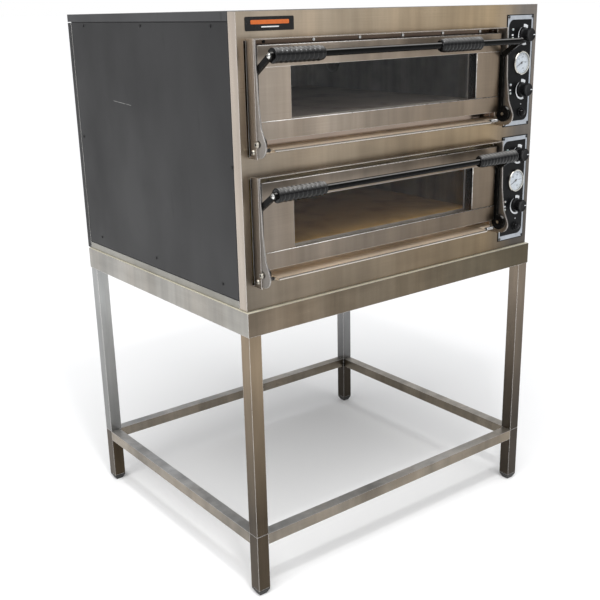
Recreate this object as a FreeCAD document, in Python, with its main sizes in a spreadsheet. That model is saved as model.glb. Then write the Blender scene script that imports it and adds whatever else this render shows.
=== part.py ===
import FreeCAD, Part
import math
import os
import re

import Sketcher
from FreeCAD import Vector

# Twin-deck electric pizza oven on an open stand. Millimetres, +Z up, the front faces -Y.
# The origin is the centre of the bounding box's base, on the floor.
# Heights inside the oven are counted down from its top, and depths back from its front face.

DIMENSIONS = {
    # cabinet
    "body_width": 1000,
    "body_depth": 850,
    "body_height": 675,
    "stand_height": 775,
    "front_y": -387.5,
    "sheet": 1.5,
    "front_return": 30,
    "rear_return": 20,
    "lid_flange": 20,
    "base_flange": 20,
    "panel_gap": 2.5,
    "post_wide": 40,
    "frame_thick": 4,
    "base_rail_high": 55,
    "top_rail_high": 44,
    "side_screw_inset": 30,
    "side_screw_front": 101,
    "side_screw_middle": 426,
    "side_screw_rear": 750,
    "edge_screw_front": 39,
    "edge_screw_rear": 813,
    "edge_screw_high": 337,
    "screw_head_radius": 3.6,
    "screw_head_high": 1.8,
    "screw_shank_radius": 1.5,
    "screw_length": 9,
    # control compartment
    "bulkhead_x": 362,
    "fascia_x": 431,
    "fascia_half": 54,
    "fascia_pitch": 327,
    "fascia_top": 26,
    "fascia_bottom": 325,
    "fascia_screw_x": 48.5,
    "fascia_screw_inset": 6,
    "cutout_half": 44,
    "cutout_top": 38,
    "cutout_bottom": 313,
    "control_x": 17,
    "knob_high_drop": 79.5,
    "knob_low_drop": 226,
    "knob_radius": 19,
    "knob_skirt": 4,
    "knob_step": 0.8,
    "knob_depth": 25,
    "knob_rear_gap": 0.8,
    "knob_edge": 1.6,
    "pointer_wide": 2.4,
    "pointer_inner": 9,
    "pointer_deep": 0.8,
    "spindle_radius": 3,
    "spindle_length": 4,
    "spindle_clearance": 1,
    "dial_x": 9,
    "dial_drop": 154,
    "bezel_radius": 32,
    "bezel_depth": 6.5,
    "bezel_inner": 28.5,
    "bezel_edge": 1.5,
    "dial_recess": 5,
    "case_radius": 30,
    "case_depth": 22,
    "glass_thick": 1.2,
    "glass_inset": 1,
    "needle_thick": 0.8,
    "needle_gap": 0.8,
    "needle_hub": 2.8,
    "needle_length": 22,
    "needle_tail": 7,
    "needle_half": 0.9,
    "needle_pin": 1.2,
    "needle_bore": 1.26,
    "needle_angle": 207,
    "lamp_x": -31,
    "lamp_radius": 3,
    "lamp_proud": 2.4,
    "lamp_depth": 12,
    "lamp_above": 15,
    "lamp_below": 8,
    "button_drop": 288.5,
    "button_radius": 9.8,
    "button_proud": 13,
    "button_side": 8,
    "button_shoulder": 11,
    "button_face": 3.9,
    "button_inside": 4,
    "collar_bore": 10.1,
    "collar_barrel": 11.2,
    "collar_rim": 12.8,
    "collar_proud": 4,
    "collar_depth": 16,
    "thermostat_half": 21,
    "thermostat_deep": 34,
    "thermostat_gap": 4,
    # door surround, measured about the middle of the door opening
    "door_x": -63.5,
    "deck_pitch": 300,
    "surround_half": 412.5,
    "surround_top": 57,
    "surround_bottom": 316,
    "surround_depth": 29,
    "surround_sheet": 2,
    "opening_half": 404.5,
    "opening_top": 61.5,
    "opening_bottom": 309.5,
    "slot_wide": 5.5,
    "slot_top": 61,
    "slot_bottom": 312,
    "sill_half": 361,
    "sill_rear_drop": 294,
    "sill_step_drop": 296.5,
    "sill_lip_drop": 299.5,
    "sill_lip_y": -26,
    "sill_lip_thick": 6,
    "sill_sheet": 2.5,
    "plate_thick": 3,
    "plate_top_y": -31,
    "plate_waist_y": -36,
    "plate_waist_drop": 188,
    "plate_neck_y": -45,
    "plate_neck_drop": 247,
    "plate_lobe_y": -36,
    "plate_lobe_drop": 287,
    "plate_lobe_radius": 25,
    "plate_cheek_y": -57.9,
    "plate_cheek_drop": 275,
    "plate_foot_drop": 312,
    "pivot_y": -31,
    "pivot_drop": 282,
    "pivot_radius": 4,
    "pivot_play": 0.06,
    "pin_y": -16,
    "pin_drop": 300.5,
    "pin_radius": 2.5,
    "pin_inner": 364,
    "bolt_head_radius": 8,
    "bolt_head_high": 4.5,
    "bolt_head_rim": 1.5,
    "bolt_head_top": 4.5,
    "spring_outer": 4.4,
    "spring_inner": 2.9,
    "spring_length": 30,
    "washer_radius": 4.7,
    "washer_thick": 2,
    # chamber
    "flange_y": 17,
    "flange_half": 406,
    "flange_top": 60,
    "flange_bottom": 311,
    "flange_screw_drop": 65.5,
    "flange_screw_pitch": 141,
    "flange_screws": 6,
    "mouth_half": 360,
    "ceiling_drop": 102,
    "mouth_bottom": 242.5,
    "chamber_floor": 275,
    "chamber_rear": 775,
    "ledge_wide": 15,
    "stone_half": 359,
    "stone_front": 40,
    "stone_depth": 360,
    "stone_gap": 1,
    "stone_thick": 18,
    "stone_drop": 242,
    "stone_edge": 2,
    "element_radius": 4,
    "element_half": 45,
    "element_pitch": 220,
    "element_front": 150,
    "element_top_drop": 113,
    "element_low_drop": 268,
    "lamp_glass_radius": 22,
    "lamp_flange_radius": 30,
    "lamp_flange_thick": 3,
    "lamp_dome": 12,
    "lamp_shoulder": 8.4,
    "lamp_waist": 18.7,
    "lamp_face": 11,
    "chamber_lamp_y": 640,
    "chamber_lamp_drop": 165,
    "insulation_left": -485.5,
    "insulation_right": 361,
    "insulation_front": 28,
    "insulation_rear": 845,
    # door
    "door_half": 396.5,
    "door_top": 71,
    "door_bottom": 277,
    "rail_front": -20,
    "stile_front": -18.5,
    "door_split": -3,
    "door_rear": 15,
    "door_sheet": 1.5,
    "top_rail_drop": 118.5,
    "low_rail_drop": 236,
    "window_half": 305.5,
    "tunnel_half": 310,
    "tunnel_margin": 4.5,
    "glass_lap": 10,
    "glass_thickness": 4,
    "inner_glass_play": 0.3,
    "arm_inner": 400,
    "arm_outer": 407,
    "arm_front": -27,
    "arm_rear": -5,
    "arm_shoulder_drop": 128,
    "arm_heel_drop": 262,
    "arm_toe_y": -13,
    "arm_toe_drop": 275,
    "lobe_radius": 21,
    "elbow_y": -23,
    "elbow_half_y": 4.2,
    "elbow_half_z": 5.6,
    "boss_y": -11.5,
    "boss_radius": 6,
    "boss_high_drop": 145,
    "boss_low_drop": 245,
    "bar_y": -78,
    "bar_drop": 91,
    "bar_radius": 8,
    "eye_radius": 9,
    "bar_screw_radius": 3,
    "bar_screw_length": 20,
    "bar_screw_play": 0.05,
    "bar_screw_head": 6.8,
    "bar_screw_high": 4.4,
    "bar_screw_rim": 1.5,
    "bar_screw_shoulder": 3.5,
    "bar_screw_face": 2.4,
    "grip_length": 141,
    "grip_core": 15,
    "grip_rib": 17,
    "grip_rib_base": 12,
    "grip_rib_crest": 6,
    "grip_ribs": 9,
    "grip_end": 9,
    "grip_play": 0.05,
    "grip_side_gap": 0.5,
    "slid_grip_x": 105.5,
    # badge
    "badge_left": -476,
    "badge_right": -344,
    "badge_top": 12,
    "badge_bottom": 42,
    "badge_thick": 1.2,
    "badge_round": 3,
    "rivet_inset": 4,
    "rivet_radius": 1.4,
    "rivet_proud": 0.6,
    # rear
    "louvre_x": 431,
    "louvre_half": 36,
    "louvre_high": 5,
    "louvre_pitch": 16,
    "louvre_low": 360,
    "louvre_count": 10,
    "gland_x": 431,
    "gland_high": 90,
    "gland_bore": 7,
    "gland_thread": 10,
    "gland_radius": 14,
    "gland_nut": 17,
    "gland_nut_long": 6,
    "gland_proud": 20,
    "gland_inside": 12,
    # stand
    "skirt_half": 505,
    "skirt_front": -10,
    "skirt_rear": 838,
    "skirt_high": 60,
    "skirt_flange": 40,
    "skirt_sheet": 1.5,
    "leg_wide": 35,
    "leg_set": 2,
    "leg_wall": 1.5,
    "seam_high": 175,
    "seam_gap": 0.8,
    "spigot_high": 45,
    "spigot_play": 0.2,
    "rail_wide": 30,
    "foot_high": 18,
    "foot_low": 13,
    "foot_insert": 22,
    "foot_inset": 0.5,
}

doc = FreeCAD.newDocument("pizza_oven")
sheet = doc.addObject("Spreadsheet::Sheet", "Sizes")
nodes = []


def fill_sheet():
    """Writes every driving dimension in a cell of its own, with its name as the alias."""
    for row, (alias, value) in enumerate(DIMENSIONS.items(), start=1):
        sheet.set(f"A{row}", alias.replace("_", " "))
        sheet.set(f"B{row}", str(value))
        sheet.setAlias(f"B{row}", alias)
    doc.recompute()


def formula(text):
    """The sheet expression for a formula that is written with bare aliases."""

    def cell(word):
        return f"Sizes.{word.group(0)}" if word.group(0) in DIMENSIONS else word.group(0)

    return re.sub(r"[a-z][a-z_]*", cell, str(text))


def bind(item, prop, text):
    item.setExpression(prop, formula(text))


def settle(item, place):
    """Binds the three coordinates of an object's place."""
    for axis, text in zip("xyz", place):
        bind(item, f"Placement.Base.{axis}", text)
    return item


CABINET = ("0", "front_y", "stand_height")
STAND = ("0", "front_y", "0")
OVEN_TOP = "stand_height + body_height"
SIDE_PANEL_DEPTHS = ("front_return + panel_gap", "body_depth - rear_return - panel_gap")


def deck_frame(deck):
    """The middle of a deck's door opening, at the oven's front face and top."""
    return ("door_x", "front_y", f"{OVEN_TOP} - {deck} * deck_pitch")


def fascia_frame(deck, across="0", behind="0", drop="0"):
    """A point on a control panel, from the panel's middle at the oven's front face and top."""
    height = f"{OVEN_TOP} - {deck} * fascia_pitch - {drop}"
    return (f"fascia_x + {across}", f"front_y + {behind}", height)


# ---- sketches ----


def loop(sketch, corners):
    """A closed outline of straight lines, with every corner bound to a pair of formulas."""
    count = len(corners)
    first = sketch.GeometryCount
    turn = FreeCAD.Rotation(Vector(0, 0, 1), 360 / count)
    guess = [Vector(10, 0, 0)]
    for _ in corners[1:]:
        guess.append(turn.multVec(guess[-1]))
    for index, point in enumerate(guess):
        sketch.addGeometry(Part.LineSegment(point, guess[(index + 1) % count]), False)
    for index in range(count):
        following = first + (index + 1) % count
        sketch.addConstraint(Sketcher.Constraint("Coincident", first + index, 2, following, 1))
    for index, corner in enumerate(corners):
        pin_point(sketch, first + index, 1, guess[index], corner)


def pin_point(sketch, geometry, end, guess, corner):
    """Binds the two coordinates of one end or centre of a sketch's geometry."""
    for kind, value, text in zip(("DistanceX", "DistanceY"), guess, corner):
        added = sketch.addConstraint(Sketcher.Constraint(kind, -1, 1, geometry, end, value))
        bind(sketch, f"Constraints[{added}]", text)


def polygon(*corners):
    return lambda sketch: loop(sketch, corners)


def rectangle(left, right, low, high):
    return polygon((left, low), (right, low), (right, high), (left, high))


def circles(radius, *centres):
    """Separate circles of one radius."""

    def draw(sketch):
        for index, centre in enumerate(centres):
            guess = Vector(20 * index, 0, 0)
            added = sketch.addGeometry(Part.Circle(guess, Vector(0, 0, 1), 5), False)
            pin_point(sketch, added, 3, guess, centre)
            size = sketch.addConstraint(Sketcher.Constraint("Radius", added, 5))
            bind(sketch, f"Constraints[{size}]", radius)

    return draw


def several(*outlines):
    def draw(sketch):
        for outline in outlines:
            outline(sketch)

    return draw


def new_sketch(body, role, outline, offset="0"):
    """A sketch on one of the body's own origin planes, moved along the plane's normal."""
    plane = next(item for item in body.Origin.OriginFeatures if item.Role == role)
    sketch = body.newObject("Sketcher::SketchObject", "Sketch")
    sketch.AttachmentSupport = [(plane, "")]
    sketch.MapMode = "FlatFace"
    bind(sketch, "AttachmentOffset.Base.z", offset)
    outline(sketch)
    return sketch


# ---- features ----


def new_body(label, place=None):
    """A body that becomes the node of this label where it has a place."""
    body = doc.addObject("PartDesign::Body", label)
    body.Label = label
    if place:
        settle(body, place)
        nodes.append(body)
    return body


def straight(kind, body, axis, outline, low, high):
    """A pad or pocket that runs along X, Y or Z between two formulas."""
    role = {"x": "YZ_Plane", "y": "XZ_Plane", "z": "XY_Plane"}[axis]
    start = f"-({high})" if axis == "y" else low
    feature_sketch = new_sketch(body, role, outline, start)
    feature = body.newObject(kind, kind.split("::")[1])
    feature.Profile = feature_sketch
    bind(feature, "Length", f"({high}) - ({low})")
    return feature


def pad(body, axis, outline, low, high):
    return straight("PartDesign::Pad", body, axis, outline, low, high)


def pocket(body, axis, outline, low, high):
    feature = straight("PartDesign::Pocket", body, axis, outline, low, high)
    feature.Reversed = True
    return feature


def turned(body, axis, outline):
    """Revolves an outline of (along, radius) points about X or Y."""
    role = {"x": "XZ_Plane", "y": "YZ_Plane"}[axis]
    profile = new_sketch(body, role, outline)
    feature = body.newObject("PartDesign::Revolution", "Revolution")
    feature.Profile = profile
    feature.ReferenceAxis = (profile, ["H_Axis"])
    feature.Angle = 360
    return feature


def repeated(body, feature, role, pitch, count):
    """A row of copies of a feature along one of the body's axes."""
    axis = next(item for item in body.Origin.OriginFeatures if item.Role == role)
    pattern = body.newObject("PartDesign::LinearPattern", "LinearPattern")
    pattern.Originals = [feature]
    pattern.Direction = (axis, [""])
    bind(pattern, "Length", f"({pitch}) * ({count} - 1)")
    bind(pattern, "Occurrences", count)
    body.Tip = pattern
    return pattern


def group(label, place, members):
    """One node of several separate solids."""
    compound = doc.addObject("Part::Compound", label)
    compound.Label = label
    compound.Links = members
    settle(compound, place)
    nodes.append(compound)
    return compound


def mirrored(source):
    """The same piece on the other side of the plane X = 0."""
    mirror = doc.addObject("Part::Mirroring", f"{source.Name}_mirror")
    mirror.Source = source
    mirror.Normal = Vector(1, 0, 0)
    return mirror


def placed(label, source, place):
    """A copy of a piece, moved by three formulas, to go in a group."""
    copy = doc.addObject("Part::Compound", label)
    copy.Links = [source]
    return settle(copy, place)


# ---- cabinet ----


def opening_outline(deck):
    """The hole in the front panel that a door closes."""
    top = f"body_height - {deck} * deck_pitch"
    return rectangle(
        "door_x - opening_half",
        "door_x + opening_half",
        f"{top} - opening_bottom",
        f"{top} - opening_top",
    )


def cutout_outline(deck):
    """The hole in the front panel behind a control panel."""
    top = f"body_height - {deck} * fascia_pitch"
    return rectangle(
        "fascia_x - cutout_half",
        "fascia_x + cutout_half",
        f"{top} - cutout_bottom",
        f"{top} - cutout_top",
    )


def slot_outline(deck, side):
    """The shadow gap in the front panel beside one cheek of a door surround."""
    top = f"body_height - {deck} * deck_pitch"
    inner = f"door_x + {side} * surround_half"
    outer = f"{inner} + {side} * slot_wide"
    return rectangle(inner, outer, f"{top} - slot_bottom", f"{top} - slot_top")


def make_front_panel():
    body = new_body("front_panel", CABINET)
    face = rectangle("-body_width / 2", "body_width / 2", "sheet", "body_height")
    hollow = rectangle("sheet - body_width / 2", "body_width / 2 - sheet", "0", "body_height - sheet")
    pad(body, "y", face, "0", "front_return")
    pocket(body, "y", hollow, "sheet", "front_return")
    holes = [outline(deck) for deck in (0, 1) for outline in (opening_outline, cutout_outline)]
    holes += [slot_outline(deck, side) for deck in (0, 1) for side in (-1, 1)]
    pocket(body, "y", several(*holes), "0", "sheet")
    pocket(body, "y", circles("screw_shank_radius", *fascia_screw_centres()), "0", "sheet")


def make_top_lid():
    body = new_body("top_lid", CABINET)
    outer = rectangle("-body_width / 2", "body_width / 2", "front_return + panel_gap", "body_depth")
    inner = rectangle("sheet - body_width / 2", "body_width / 2 - sheet", "0", "body_depth - sheet")
    pad(body, "z", outer, "body_height - lid_flange", "body_height")
    pocket(body, "z", inner, "body_height - lid_flange", "body_height - sheet")


def side_sheet_spans():
    """Where the cabinet's left and right sheets lie in X."""
    return ("-body_width / 2", "sheet - body_width / 2"), ("body_width / 2 - sheet", "body_width / 2")


def make_base_tray():
    body = new_body("base_tray", CABINET)
    floor = rectangle("sheet - body_width / 2", "body_width / 2 - sheet", "sheet", "body_depth - sheet")
    pad(body, "z", floor, "0", "sheet")
    for left, right in side_sheet_spans():
        flange = rectangle(left, right, *SIDE_PANEL_DEPTHS)
        pad(body, "z", flange, "0", "base_flange")


def side_screw_centres():
    """(depth, height) of the screws round each side panel."""
    low = "base_flange + side_screw_inset - sheet"
    high = "body_height - side_screw_inset"
    columns = ("side_screw_front", "side_screw_middle", "side_screw_rear")
    corners = [(column, row) for row in (low, high) for column in columns]
    return corners + [(column, "edge_screw_high") for column in ("edge_screw_front", "edge_screw_rear")]


def make_side_panels():
    heights = ("base_flange + panel_gap", "body_height - lid_flange - panel_gap")
    outline = rectangle(*SIDE_PANEL_DEPTHS, *heights)
    labels = ("left_side_panel", "right_side_panel")
    for label, (low, high) in zip(labels, side_sheet_spans()):
        body = new_body(label, CABINET)
        pad(body, "x", outline, low, high)
        pocket(body, "x", circles("screw_shank_radius", *side_screw_centres()), low, high)


def make_side_frames():
    """Two welded frames inside the side panels, which the panels are screwed to."""
    outer = rectangle("post_wide / 2", "body_depth - post_wide / 2", "sheet", "body_height - sheet")
    inner = rectangle(
        "post_wide / 2 + post_wide",
        "body_depth - post_wide / 2 - post_wide",
        "sheet + base_rail_high",
        "body_height - sheet - top_rail_high",
    )
    body = new_body("side_frames", CABINET)
    for low, high in side_frame_spans():
        pad(body, "x", outer, low, high)
        pocket(body, "x", inner, low, high)
        pocket(body, "x", circles("screw_shank_radius", *side_screw_centres()), low, high)


def side_frame_spans():
    left = ("sheet - body_width / 2", "sheet + frame_thick - body_width / 2")
    right = ("body_width / 2 - sheet - frame_thick", "body_width / 2 - sheet")
    return left, right


def make_rear_panel():
    body = new_body("rear_panel", CABINET)
    face = rectangle("-body_width / 2", "body_width / 2", "sheet", "body_height - lid_flange - panel_gap")
    hollow = rectangle("sheet - body_width / 2", "body_width / 2 - sheet", "0", "body_height")
    pad(body, "y", face, "body_depth - rear_return", "body_depth")
    pocket(body, "y", hollow, "body_depth - rear_return", "body_depth - sheet")
    gland_hole = circles("gland_thread", ("gland_x", "gland_high"))
    pocket(body, "y", gland_hole, "body_depth - sheet", "body_depth")
    slot = rectangle(
        "louvre_x - louvre_half",
        "louvre_x + louvre_half",
        "louvre_low",
        "louvre_low + louvre_high",
    )
    first = pocket(body, "y", slot, "body_depth - sheet", "body_depth")
    repeated(body, first, "Z_Axis", "louvre_pitch", "louvre_count")


def make_bulkhead():
    """The sheet wall between the chambers and the control compartment."""
    body = new_body("control_bulkhead", CABINET)
    wall = rectangle("sheet", "body_depth - sheet", "sheet", "body_height - sheet")
    pad(body, "x", wall, "bulkhead_x", "bulkhead_x + sheet")


def make_insulation():
    """One block of mineral wool round both chambers."""
    body = new_body("insulation", CABINET)
    block = rectangle("insulation_left", "insulation_right", "2 * sheet", "body_height - 2 * sheet")
    pad(body, "y", block, "insulation_front", "insulation_rear")
    for deck in (0, 1):
        top = f"body_height - {deck} * deck_pitch"
        room = rectangle(
            "door_x - mouth_half - sheet",
            "door_x + mouth_half + sheet",
            f"{top} - chamber_floor - sheet",
            f"{top} - ceiling_drop + sheet",
        )
        pocket(body, "y", room, "insulation_front", "chamber_rear + sheet")


def make_gland():
    """The cable entry at the back: a body with a hexagon and a through bore."""
    body = new_body("cable_gland", ("gland_x", "front_y + body_depth", "stand_height + gland_high"))
    outline = polygon(
        ("-gland_inside", "gland_bore"),
        ("gland_proud", "gland_bore"),
        ("gland_proud", "gland_thread"),
        ("gland_nut_long", "gland_radius"),
        ("0", "gland_radius"),
        ("0", "gland_thread"),
        ("-gland_inside", "gland_thread"),
    )
    turned(body, "y", outline)
    turns = [f"{step} * 60" for step in range(6)]
    hexagon = polygon(*[(f"gland_nut * cos({turn})", f"gland_nut * sin({turn})") for turn in turns])
    pad(body, "y", hexagon, "0", "gland_nut_long")
    pocket(body, "y", circles("gland_bore", ("0", "0")), "0", "gland_nut_long")


def make_badge():
    """A blank name plate with a rivet at each end."""
    body = new_body("badge", CABINET)
    top = "body_height - badge_top"
    low = "body_height - badge_bottom"
    plate = pad(body, "y", rectangle("badge_left", "badge_right", low, top), "-badge_thick", "0")
    doc.recompute()
    corners = [
        f"Edge{index}"
        for index, edge in enumerate(plate.Shape.Edges, start=1)
        if abs(edge.tangentAt(edge.FirstParameter).y) > 0.9
    ]
    rounding = body.newObject("PartDesign::Fillet", "Fillet")
    rounding.Base = (plate, corners)
    bind(rounding, "Radius", "badge_round")
    middle = "body_height - (badge_top + badge_bottom) / 2"
    ends = [("badge_left + rivet_inset", middle), ("badge_right - rivet_inset", middle)]
    pad(body, "y", circles("rivet_radius", *ends), "-badge_thick - rivet_proud", "-badge_thick")


# ---- screws ----


def fascia_screw_centres():
    """(across, height) of the four screws of both control panels, in the cabinet's frame."""
    centres = []
    for deck in (0, 1):
        top = f"body_height - {deck} * fascia_pitch"
        for across in ("fascia_x - fascia_screw_x", "fascia_x + fascia_screw_x"):
            centres.append((across, f"{top} - fascia_top - fascia_screw_inset"))
            centres.append((across, f"{top} - fascia_bottom + fascia_screw_inset"))
    return centres


def flange_screw_centres(top="0", middle="0"):
    """(across, height) of the row of screws above one door."""
    first = "flange_screw_pitch * (flange_screws - 1) / 2"
    return [
        (f"{middle} - {first} + {index} * flange_screw_pitch", f"{top} - flange_screw_drop")
        for index in range(DIMENSIONS["flange_screws"])
    ]


def add_screws(body, axis, centres, surface, outward):
    """Round heads on a surface, each with a shank through the sheet behind it."""
    head = sorted_span(surface, f"{surface} + {outward} * screw_head_high", outward)
    shank = sorted_span(surface, f"{surface} - {outward} * screw_length", -outward)
    pad(body, axis, circles("screw_head_radius", *centres), *head)
    pad(body, axis, circles("screw_shank_radius", *centres), *shank)


def sorted_span(start, end, direction):
    return (start, end) if direction > 0 else (end, start)


def make_casing_screws():
    body = new_body("casing_screws", CABINET)
    add_screws(body, "x", side_screw_centres(), "-body_width / 2", -1)
    add_screws(body, "x", side_screw_centres(), "body_width / 2", 1)
    add_screws(body, "y", fascia_screw_centres(), "-sheet", -1)
    for deck in (0, 1):
        top = f"body_height - {deck} * deck_pitch"
        add_screws(body, "y", flange_screw_centres(top, "door_x"), "flange_y", -1)


# ---- decks: fixed pieces ----


def make_surround(name, deck):
    """A folded hood over the door and a cheek down each side of it."""
    body = new_body(f"{name}_door_surround", deck_frame(deck))
    outer = rectangle("-surround_half", "surround_half", "-surround_bottom", "-surround_top")
    inner = rectangle(
        "surround_sheet - surround_half",
        "surround_half - surround_sheet",
        "-surround_bottom",
        "-surround_top - surround_sheet",
    )
    pad(body, "y", outer, "-surround_depth", "0")
    pocket(body, "y", inner, "-surround_depth", "0")
    pocket(body, "x", pivot_circle("pivot_radius"), "-surround_half", "surround_half")
    pocket(body, "x", pin_circle("pin_radius"), "-surround_half", "surround_half")


def pivot_circle(radius):
    return circles(radius, ("pivot_y", "-pivot_drop"))


def pin_circle(radius):
    return circles(radius, ("pin_y", "-pin_drop"))


def make_hinge_plates(name, deck):
    """Lobed plates inside the cheeks, which carry the door's pivots."""
    plate = new_body(f"{name}_hinge_plate")
    low = "surround_half - surround_sheet - plate_thick"
    high = "surround_half - surround_sheet"
    outline = polygon(
        ("0", "-surround_top - surround_sheet"),
        ("plate_top_y", "-surround_top - surround_sheet"),
        ("plate_waist_y", "-plate_waist_drop"),
        ("plate_neck_y", "-plate_neck_drop"),
        ("plate_cheek_y", "-plate_cheek_drop"),
        ("plate_lobe_y", "-plate_foot_drop"),
        ("0", "-plate_foot_drop"),
    )
    pad(plate, "x", outline, low, high)
    pad(plate, "x", circles("plate_lobe_radius", ("plate_lobe_y", "-plate_lobe_drop")), low, high)
    pocket(plate, "x", pivot_circle("pivot_radius"), low, high)
    pocket(plate, "x", pin_circle("pin_radius"), low, high)
    group(f"{name}_hinge_plates", deck_frame(deck), [plate, mirrored(plate)])


def make_sill(name, deck):
    """The polished step from the chamber's mouth down to a thick lip outside the opening."""
    body = new_body(f"{name}_sill", deck_frame(deck))
    inside = polygon(
        ("flange_y", "-sill_rear_drop"),
        ("0", "-sill_step_drop"),
        ("0", "-opening_bottom"),
        ("sheet", "-opening_bottom"),
        ("flange_y", "-sill_rear_drop - sill_sheet"),
    )
    outside = polygon(
        ("0", "-sill_step_drop"),
        ("sill_lip_y", "-sill_lip_drop"),
        ("sill_lip_y", "-sill_lip_drop - sill_lip_thick"),
        ("0", "-sill_lip_drop - sill_lip_thick"),
    )
    lip_centre = ("sill_lip_y", "-sill_lip_drop - sill_lip_thick / 2")
    pad(body, "x", inside, "-opening_half", "opening_half")
    pad(body, "x", outside, "-sill_half", "sill_half")
    pad(body, "x", circles("sill_lip_thick / 2", lip_centre), "-sill_half", "sill_half")


def make_chamber(name, deck):
    """The chamber's liner: a box with a front flange, a rim that meets the front panel and ledges."""
    body = new_body(f"{name}_chamber_liner", deck_frame(deck))
    shell = rectangle(
        "-mouth_half - sheet",
        "mouth_half + sheet",
        "-chamber_floor - sheet",
        "sheet - ceiling_drop",
    )
    cavity = rectangle("-mouth_half", "mouth_half", "-chamber_floor", "-ceiling_drop")
    flange = rectangle("-flange_half", "flange_half", "-flange_bottom", "-flange_top")
    recess = rectangle("-opening_half", "opening_half", "-opening_bottom", "-opening_top")
    mouth = rectangle("-mouth_half", "mouth_half", "-mouth_bottom", "-ceiling_drop")
    pad(body, "y", shell, "flange_y", "chamber_rear + sheet")
    pad(body, "y", flange, "sheet", "flange_y + sheet")
    pocket(body, "y", recess, "sheet", "flange_y")
    pocket(body, "y", cavity, "flange_y + sheet", "chamber_rear")
    pocket(body, "y", mouth, "flange_y", "flange_y + sheet")
    screw_holes = circles("screw_shank_radius", *flange_screw_centres())
    pocket(body, "y", screw_holes, "flange_y", "flange_y + sheet")
    low = "-chamber_floor"
    high = "-stone_drop - stone_thick"
    left = rectangle("-mouth_half", "ledge_wide - mouth_half", low, high)
    right = rectangle("mouth_half - ledge_wide", "mouth_half", low, high)
    pad(body, "y", several(left, right), "stone_front", "chamber_rear")


def make_stone_floor(name, deck):
    """Two refractory slabs, one behind the other, with their top edges eased."""
    body = new_body(f"{name}_stone_floor", deck_frame(deck))
    slab = rectangle(
        "-stone_half",
        "stone_half",
        "stone_front",
        "stone_front + stone_depth - stone_gap",
    )
    first = pad(body, "z", slab, "-stone_drop - stone_thick", "-stone_drop")
    pattern = repeated(body, first, "Y_Axis", "stone_depth", 2)
    doc.recompute()
    easing = body.newObject("PartDesign::Chamfer", "Chamfer")
    easing.Base = (pattern, top_edges(pattern.Shape))
    bind(easing, "Size", "stone_edge")


def top_edges(shape):
    """Names of the edges that lie in the shape's highest plane."""
    highest = shape.BoundBox.ZMax
    return [
        f"Edge{index}"
        for index, edge in enumerate(shape.Edges, start=1)
        if all(abs(vertex.Z - highest) < 0.01 for vertex in edge.Vertexes)
    ]


def make_hairpins(label, drop):
    """Three sheathed heating rods side by side, each bent to a U with its ends at the rear wall."""
    body = new_body(label)
    spine = new_sketch(body, "XY_Plane", hairpin_path, f"-{drop}")
    section = new_sketch(
        body,
        "XZ_Plane",
        circles("element_radius", ("-element_pitch - element_half", f"-{drop}")),
        "-chamber_rear",
    )
    pipe = body.newObject("PartDesign::AdditivePipe", "AdditivePipe")
    pipe.Profile = section
    pipe.Spine = (spine, ["Edge1", "Edge2", "Edge3"])
    doc.recompute()
    repeated(body, pipe, "X_Axis", "element_pitch", 3)
    return body


def hairpin_path(sketch):
    """Forward along Y, round a half circle and back."""
    near = Vector(-10, 50, 0)
    sketch.addGeometry(Part.LineSegment(Vector(-10, 100, 0), near), False)
    circle = Part.Circle(Vector(0, 50, 0), Vector(0, 0, 1), 10)
    sketch.addGeometry(Part.ArcOfCircle(circle, math.pi, 2 * math.pi), False)
    sketch.addGeometry(Part.LineSegment(Vector(10, 50, 0), Vector(10, 100, 0)), False)
    left = "-element_pitch - element_half"
    right = "element_half - element_pitch"
    pin_point(sketch, 0, 1, Vector(-10, 100, 0), (left, "chamber_rear"))
    pin_point(sketch, 0, 2, near, (left, "element_front"))
    sketch.addConstraint(Sketcher.Constraint("Coincident", 0, 2, 1, 1))
    sketch.addConstraint(Sketcher.Constraint("Coincident", 1, 2, 2, 1))
    pin_point(sketch, 2, 1, Vector(10, 50, 0), (right, "element_front"))
    pin_point(sketch, 2, 2, Vector(10, 100, 0), (right, "chamber_rear"))
    centre_height = sketch.addConstraint(Sketcher.Constraint("DistanceY", -1, 1, 1, 3, 50))
    bind(sketch, f"Constraints[{centre_height}]", "element_front")


def make_elements(name, deck):
    top = make_hairpins(f"{name}_top_rods", "element_top_drop")
    low = make_hairpins(f"{name}_low_rods", "element_low_drop")
    group(f"{name}_heating_elements", deck_frame(deck), [top, low])


# ---- decks: door ----


def make_door_frame(name, deck):
    """The door's front pan: stiles set back behind the two rails, round the window."""
    body = new_body(f"{name}_door_frame", deck_frame(deck))
    outer = rectangle("-door_half", "door_half", "-door_bottom", "-door_top")
    hollow = rectangle(
        "door_sheet - door_half",
        "door_half - door_sheet",
        "door_sheet - door_bottom",
        "-door_sheet - door_top",
    )
    top_rail = rectangle("-door_half", "door_half", "-top_rail_drop", "-door_top")
    low_rail = rectangle("-door_half", "door_half", "-door_bottom", "-low_rail_drop")
    window = rectangle("-window_half", "window_half", "-low_rail_drop", "-top_rail_drop")
    pad(body, "y", outer, "stile_front", "door_split")
    pocket(body, "y", hollow, "stile_front + door_sheet", "door_split")
    pocket(body, "y", window, "stile_front", "stile_front + door_sheet")
    pad(body, "y", several(top_rail, low_rail), "rail_front", "stile_front")


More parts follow.
